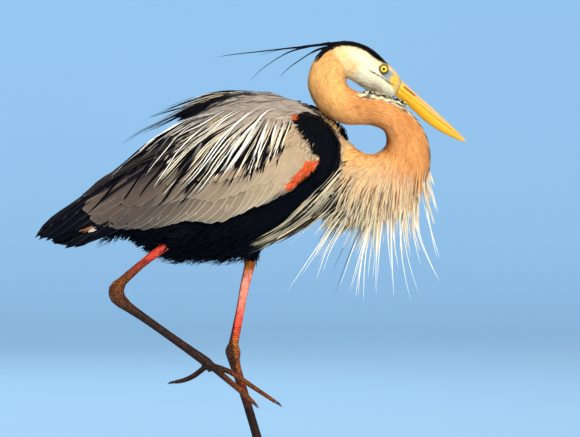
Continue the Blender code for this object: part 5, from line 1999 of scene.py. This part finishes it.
class HERON_OT_eyes(Operator):
    """Yellow eyes with round black pupils, each in a ring of dark lid"""

    bl_idname = "heron.eyes"
    bl_label = "Eyes"
    bl_options = {"REGISTER", "UNDO"}

    def execute(self, context):
        for hand, side in SIDES.items():
            bm = bmesh.new()
            bmesh.ops.create_uvsphere(bm, u_segments=64, v_segments=40, radius=EYE_RADIUS * MM)
            bmesh.ops.rotate(bm, matrix=Matrix.Rotation(math.pi / 2, 3, "X"), verts=bm.verts[:])
            for vert in bm.verts:
                facing = vert.co.y * side / (EYE_RADIUS * MM)
                vert.co.y += side * 0.0005 * float(soft_step(0.86, 1.0, facing))
            bmesh.ops.translate(bm, vec=(EYE[0] * MM, side * EYE[1] * MM, EYE[2] * MM), verts=bm.verts[:])
            mesh = bpy.data.meshes.new(f"eye_{hand}_ball")
            bm.to_mesh(mesh)
            bm.free()
            finish_piece(new_object(f"eye_{hand}_ball", mesh, self.eye_material()), "eye", f"eye_{hand}")
            self.lid(hand, side)
        return {"FINISHED"}

    def eye_material(self):
        """A glass-clear wet eye: yellow iris with fine rays, darker at its rim, round a black pupil."""
        found = bpy.data.materials.get("wet_heron_eye")
        if found:
            return found
        mat, tree, shader = new_material("wet_heron_eye")
        where = add(tree, "TexCoord")
        place = add(tree, "SeparateXYZ", {"Vector": where.outputs["Object"]})
        across = add(tree, "Math", {0: place.outputs["X"], 1: EYE[0] * MM}, operation="SUBTRACT")
        height = add(tree, "Math", {0: place.outputs["Z"], 1: EYE[2] * MM}, operation="SUBTRACT")
        flat = add(tree, "CombineXYZ", {"X": across, "Y": height, "Z": 0.0})
        radius = add(tree, "VectorMath", {0: flat}, operation="LENGTH")
        # a noise of about 0.7 mm shifts the rings by up to 0.4 mm, which draws the rays
        ray = add(tree, "TexNoise", {"Vector": flat, "Scale": 1400.0, "Detail": 3.0})
        wobble = add(
            tree, "Math", {0: ray, 1: 0.0004, 2: radius.outputs["Value"]},
            operation="MULTIPLY_ADD",
        )
        ramp = add(tree, "MapRange", {"Value": wobble, "From Min": 0.0, "From Max": 0.008})
        rings = add(tree, "ValToRGB", {"Fac": ramp})
        stops = rings.color_ramp
        stops.elements[0].position, stops.elements[0].color = 0.28, (0.002, 0.002, 0.002, 1)
        stops.elements[1].position, stops.elements[1].color = 0.305, (*linear("B98A0C"), 1)
        for spot, code in ((0.36, "FBE21C"), (0.62, "F6CE14"), (0.695, "B87A10"), (0.735, "1A120C")):
            stops.elements.new(spot).color = (*linear(code), 1)
        tree.links.new(rings.outputs["Color"], shader.inputs["Base Color"])
        shader.inputs["Roughness"].default_value = 0.12
        shader.inputs["Coat Weight"].default_value = 1.0
        shader.inputs["Coat Roughness"].default_value = 0.02
        shader.inputs["IOR"].default_value = 1.38
        return mat

    def lid(self, hand, side):
        """A narrow ring of dark bare skin that lies on the head round the eye."""
        bm = bmesh.new()
        made = bmesh.ops.create_circle(bm, segments=10, radius=0.0007)
        for vert in made["verts"]:
            vert.co.x += LID_RING * MM
        edges = list({edge for vert in made["verts"] for edge in vert.link_edges})
        bmesh.ops.rotate(bm, matrix=Matrix.Rotation(math.pi / 2, 3, "X"), verts=bm.verts[:])
        turn_round(bm, edges + made["verts"], 48)
        bmesh.ops.remove_doubles(bm, verts=bm.verts[:], dist=0.00001)
        for vert in bm.verts:
            x, z = EYE[0] * MM + vert.co.x, EYE[2] * MM + vert.co.y
            angle = math.atan2(vert.co.y, vert.co.x)
            # halfway between the ball at 6.2 mm from its middle and the head at 7.8 mm
            head_x, head_z = EYE[0] * MM + 0.0078 * math.cos(angle), EYE[2] * MM + 0.0078 * math.sin(angle)
            hit = body.tree.ray_cast((head_x, side * HEAD_RAY, head_z), (0, -side, 0))[0]
            ball = EYE[1] * MM + math.sqrt((EYE_RADIUS * MM) ** 2 - 0.0062**2)
            vert.co = Vector((x, side * (0.5 * (abs(hit.y) if hit else 0.019) + 0.5 * ball + vert.co.z), z))
        bmesh.ops.recalc_face_normals(bm, faces=bm.faces[:])
        mesh = bpy.data.meshes.new(f"eyelid_{hand}")
        bm.to_mesh(mesh)
        bm.free()
        count = len(mesh.vertices)
        paint_vertices(mesh, np.tile(linear("33261A"), (count, 1)), np.zeros(count))
        mat = horn_material(f"bare_eyelid_{hand}", 0.5, 0.2, 900.0)
        finish_piece(new_object(f"eyelid_{hand}", mesh, mat), "eye")


class HERON_OT_claws(Operator):
    """Eight dark claws, curved and worn at the point"""

    bl_idname = "heron.claws"
    bl_label = "Claws"
    bl_options = {"REGISTER", "UNDO"}

    def execute(self, context):
        mesh = remeshed(merged_copy(CLAWS), "claws", 0.0006, 0.5, 3)
        places = read(mesh.vertices, "co", 3)
        tint = np.tile(colours()["claw"], (len(places), 1)) * (1 + 0.25 * ripple(places, 0.006)[:, None])
        paint_vertices(mesh, np.clip(tint, 0, 1), np.zeros(len(places)))
        mat = horn_material("dark_claw_horn", 0.38, 0.15, 500.0, coat=0.2)
        finish_piece(new_object("claws", mesh, mat), "claw", *CLAWS)
        return {"FINISHED"}


class HERON_OT_base(Operator):
    """A plain display base of oiled oak with softened edges"""

    bl_idname = "heron.base"
    bl_label = "Display Base"
    bl_options = {"REGISTER", "UNDO"}

    def execute(self, context):
        hues = colours()
        bm = merged_copy(["stand_base"])
        bmesh.ops.dissolve_limit(bm, angle_limit=0.02, verts=bm.verts[:], edges=bm.edges[:])
        bmesh.ops.bevel(
            bm, geom=bm.edges[:], offset=0.0016, offset_type="OFFSET", segments=4, profile=0.5,
            affect="EDGES", material=-1,
        )
        mesh = bpy.data.meshes.new("oak_base")
        bm.to_mesh(mesh)
        bm.free()
        mat, tree, shader = new_material("oiled_oak")
        where = add(tree, "TexCoord")
        # cut along X: rings about 12 mm apart, bent by slow waves of 200 mm, and pores 0.7 by 13 mm
        warp = add(tree, "TexNoise", {"Vector": where.outputs["Object"], "Scale": 5.0, "Detail": 3.0})
        bent = add(
            tree, "Mix", {0: 0.06, 4: where.outputs["Object"], 5: warp.outputs["Color"]},
            data_type="VECTOR",
        )
        slow = add(tree, "Mapping", {"Vector": bent.outputs[1], "Scale": (0.12, 1.0, 1.0)})
        rings = add(
            tree, "TexWave",
            {"Vector": slow, "Scale": 26.0, "Distortion": 5.0, "Detail": 3.0, "Detail Scale": 1.4},
            wave_type="BANDS", bands_direction="Y",
        )
        pores_at = add(tree, "Mapping", {"Vector": where.outputs["Object"], "Scale": (0.05, 1.0, 1.0)})
        pores = add(tree, "TexNoise", {"Vector": pores_at, "Scale": 1500.0, "Detail": 2.0})
        figure = add(tree, "Math", {0: pores, 1: 0.55, 2: rings.outputs["Fac"]}, operation="MULTIPLY_ADD")
        ramp = add(tree, "ValToRGB", {"Fac": figure})
        dark, light = ramp.color_ramp.elements
        dark.position, dark.color = 0.15, (*(hues["oak"] * 0.55), 1)
        light.position, light.color = 1.2 / 1.3, (*(hues["oak"] * 1.05), 1)
        tree.links.new(ramp.outputs["Color"], shader.inputs["Base Color"])
        bump = add(tree, "Bump", {"Height": pores, "Strength": 0.3, "Distance": 0.0004})
        tree.links.new(bump.outputs[0], shader.inputs["Normal"])
        shader.inputs["Roughness"].default_value = 0.42
        obj = new_object("oak_base", mesh, mat)
        mesh.set_sharp_from_angle(angle=math.radians(40))
        finish_piece(obj, "stand_wood", "stand_base")
        return {"FINISHED"}


class HERON_OT_studio(Operator):
    """A seamless pale floor and backdrop, soft lights and the camera"""

    bl_idname = "heron.studio"
    bl_label = "Studio"
    bl_options = {"REGISTER", "UNDO"}

    def execute(self, context):
        scene = bpy.context.scene
        self.paper()
        for name, kind, spot, size, power, tint in LAMPS:
            light = bpy.data.lights.new(name, kind)
            light.energy, light.color = power, tint
            if kind == "SPOT":
                light.shadow_soft_size, light.spot_size, light.spot_blend = size, math.radians(24), 1.0
            else:
                light.size = size
            self.hang(name, light, Vector(LAMP_AIM) - Vector(spot), spot)
        daylight = bpy.data.lights.new("daylight", "SUN")
        daylight.energy, daylight.angle, daylight.color = 1.45, math.radians(16), (1.0, 0.93, 0.82)
        self.hang("daylight", daylight, Vector(DAYLIGHT_WAY), (0, 0, 0))
        scene.world = scene.world or bpy.data.worlds.new("studio")
        scene.world.use_nodes = True
        sky = scene.world.node_tree.nodes["Background"]
        sky.inputs[0].default_value = (*linear("F2F4F6"), 1)
        sky.inputs[1].default_value = 0.4
        camera = bpy.data.cameras.new("camera")
        camera.lens = 200
        camera.sensor_width = 36
        low, high = CAD_BOX
        distance = camera.lens / camera.sensor_width * VIEW_WIDTH
        eye = bpy.data.objects.new("camera", camera)
        eye.location = ((low.x + high.x) / 2 + VIEW_AHEAD, -distance, VIEW_HEIGHT)
        eye.rotation_euler = (math.pi / 2, 0, 0)
        scene.collection.objects.link(eye)
        scene.camera = eye
        scene.view_settings.view_transform = "Standard"
        return {"FINISHED"}

    def paper(self):
        """A round sheet of matt paper that is level under the bird and curves up all round it."""
        bm = bmesh.new()
        verts = [bm.verts.new((reach, 0, height)) for reach, height in PAPER]
        edges = [bm.edges.new(pair) for pair in zip(verts, verts[1:])]
        turn_round(bm, verts + edges, 96)
        bmesh.ops.remove_doubles(bm, verts=bm.verts[:], dist=0.0001)
        bmesh.ops.recalc_face_normals(bm, faces=bm.faces[:])
        bmesh.ops.reverse_faces(bm, faces=bm.faces[:])
        mesh = bpy.data.meshes.new("backdrop")
        bm.to_mesh(mesh)
        bm.free()
        mat, tree, shader = new_material("matt_studio_paper")
        where = add(tree, "TexCoord")
        # a barely lighter and darker cloud about 1.7 m across
        cloud = add(tree, "TexNoise", {"Vector": where.outputs["Object"], "Scale": 0.6, "Detail": 2.0})
        tone = add(tree, "ValToRGB", {"Fac": cloud})
        paper = colours()["backdrop"]
        tone.color_ramp.elements[0].color = (*(paper * 0.97), 1)
        tone.color_ramp.elements[1].color = (*np.clip(paper * 1.03, 0, 1), 1)
        tree.links.new(tone.outputs["Color"], shader.inputs["Base Color"])
        shader.inputs["Roughness"].default_value = 0.95
        return new_object("backdrop", mesh, mat)

    def hang(self, name, light, way, spot):
        """Puts a lamp at its spot, facing a way."""
        lamp = bpy.data.objects.new(name, light)
        lamp.location = spot
        lamp.rotation_euler = way.to_track_quat("-Z", "Y").to_euler()
        bpy.context.scene.collection.objects.link(lamp)


class HERON_PT_panel(Panel):
    """Lists the steps that dress the heron"""

    bl_label = "Heron"
    bl_idname = "HERON_PT_panel"
    bl_space_type = "VIEW_3D"
    bl_region_type = "UI"
    bl_category = "Heron"

    def draw(self, context):
        for operator in STEPS:
            self.layout.operator(operator.bl_idname)
        for group in (context.scene.heron_sizes, context.scene.heron_colours):
            box = self.layout.box()
            for name in type(group).__annotations__:
                box.prop(group, name)


STEPS = (
    HERON_OT_skin,
    HERON_OT_head_feathers,
    HERON_OT_neck_feathers,
    HERON_OT_breast_feathers,
    HERON_OT_belly_feathers,
    HERON_OT_mantle_feathers,
    HERON_OT_wing_coverts,
    HERON_OT_flight_feathers,
    HERON_OT_tail_feathers,
    HERON_OT_scapular_plumes,
    HERON_OT_shoulder_feathers,
    HERON_OT_breast_plumes,
    HERON_OT_crest_plumes,
    HERON_OT_back_plumes,
    HERON_OT_bill,
    HERON_OT_eyes,
    HERON_OT_claws,
    HERON_OT_base,
    HERON_OT_studio,
)
CLASSES = HeronSizes, HeronColours, *STEPS, HERON_PT_panel


def register():
    """Adds the add-on's classes and its two groups of settings."""
    for item in CLASSES:
        bpy.utils.register_class(item)
    bpy.types.Scene.heron_sizes = PointerProperty(type=HeronSizes)
    bpy.types.Scene.heron_colours = PointerProperty(type=HeronColours)


def unregister():
    """Takes them away again."""
    del bpy.types.Scene.heron_colours
    del bpy.types.Scene.heron_sizes
    for item in reversed(CLASSES):
        bpy.utils.unregister_class(item)


def main():
    """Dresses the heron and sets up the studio."""
    register()
    for step in STEPS:
        group, name = step.bl_idname.split(".")
        getattr(getattr(bpy.ops, group), name)()


if __name__ == "__main__":
    main()
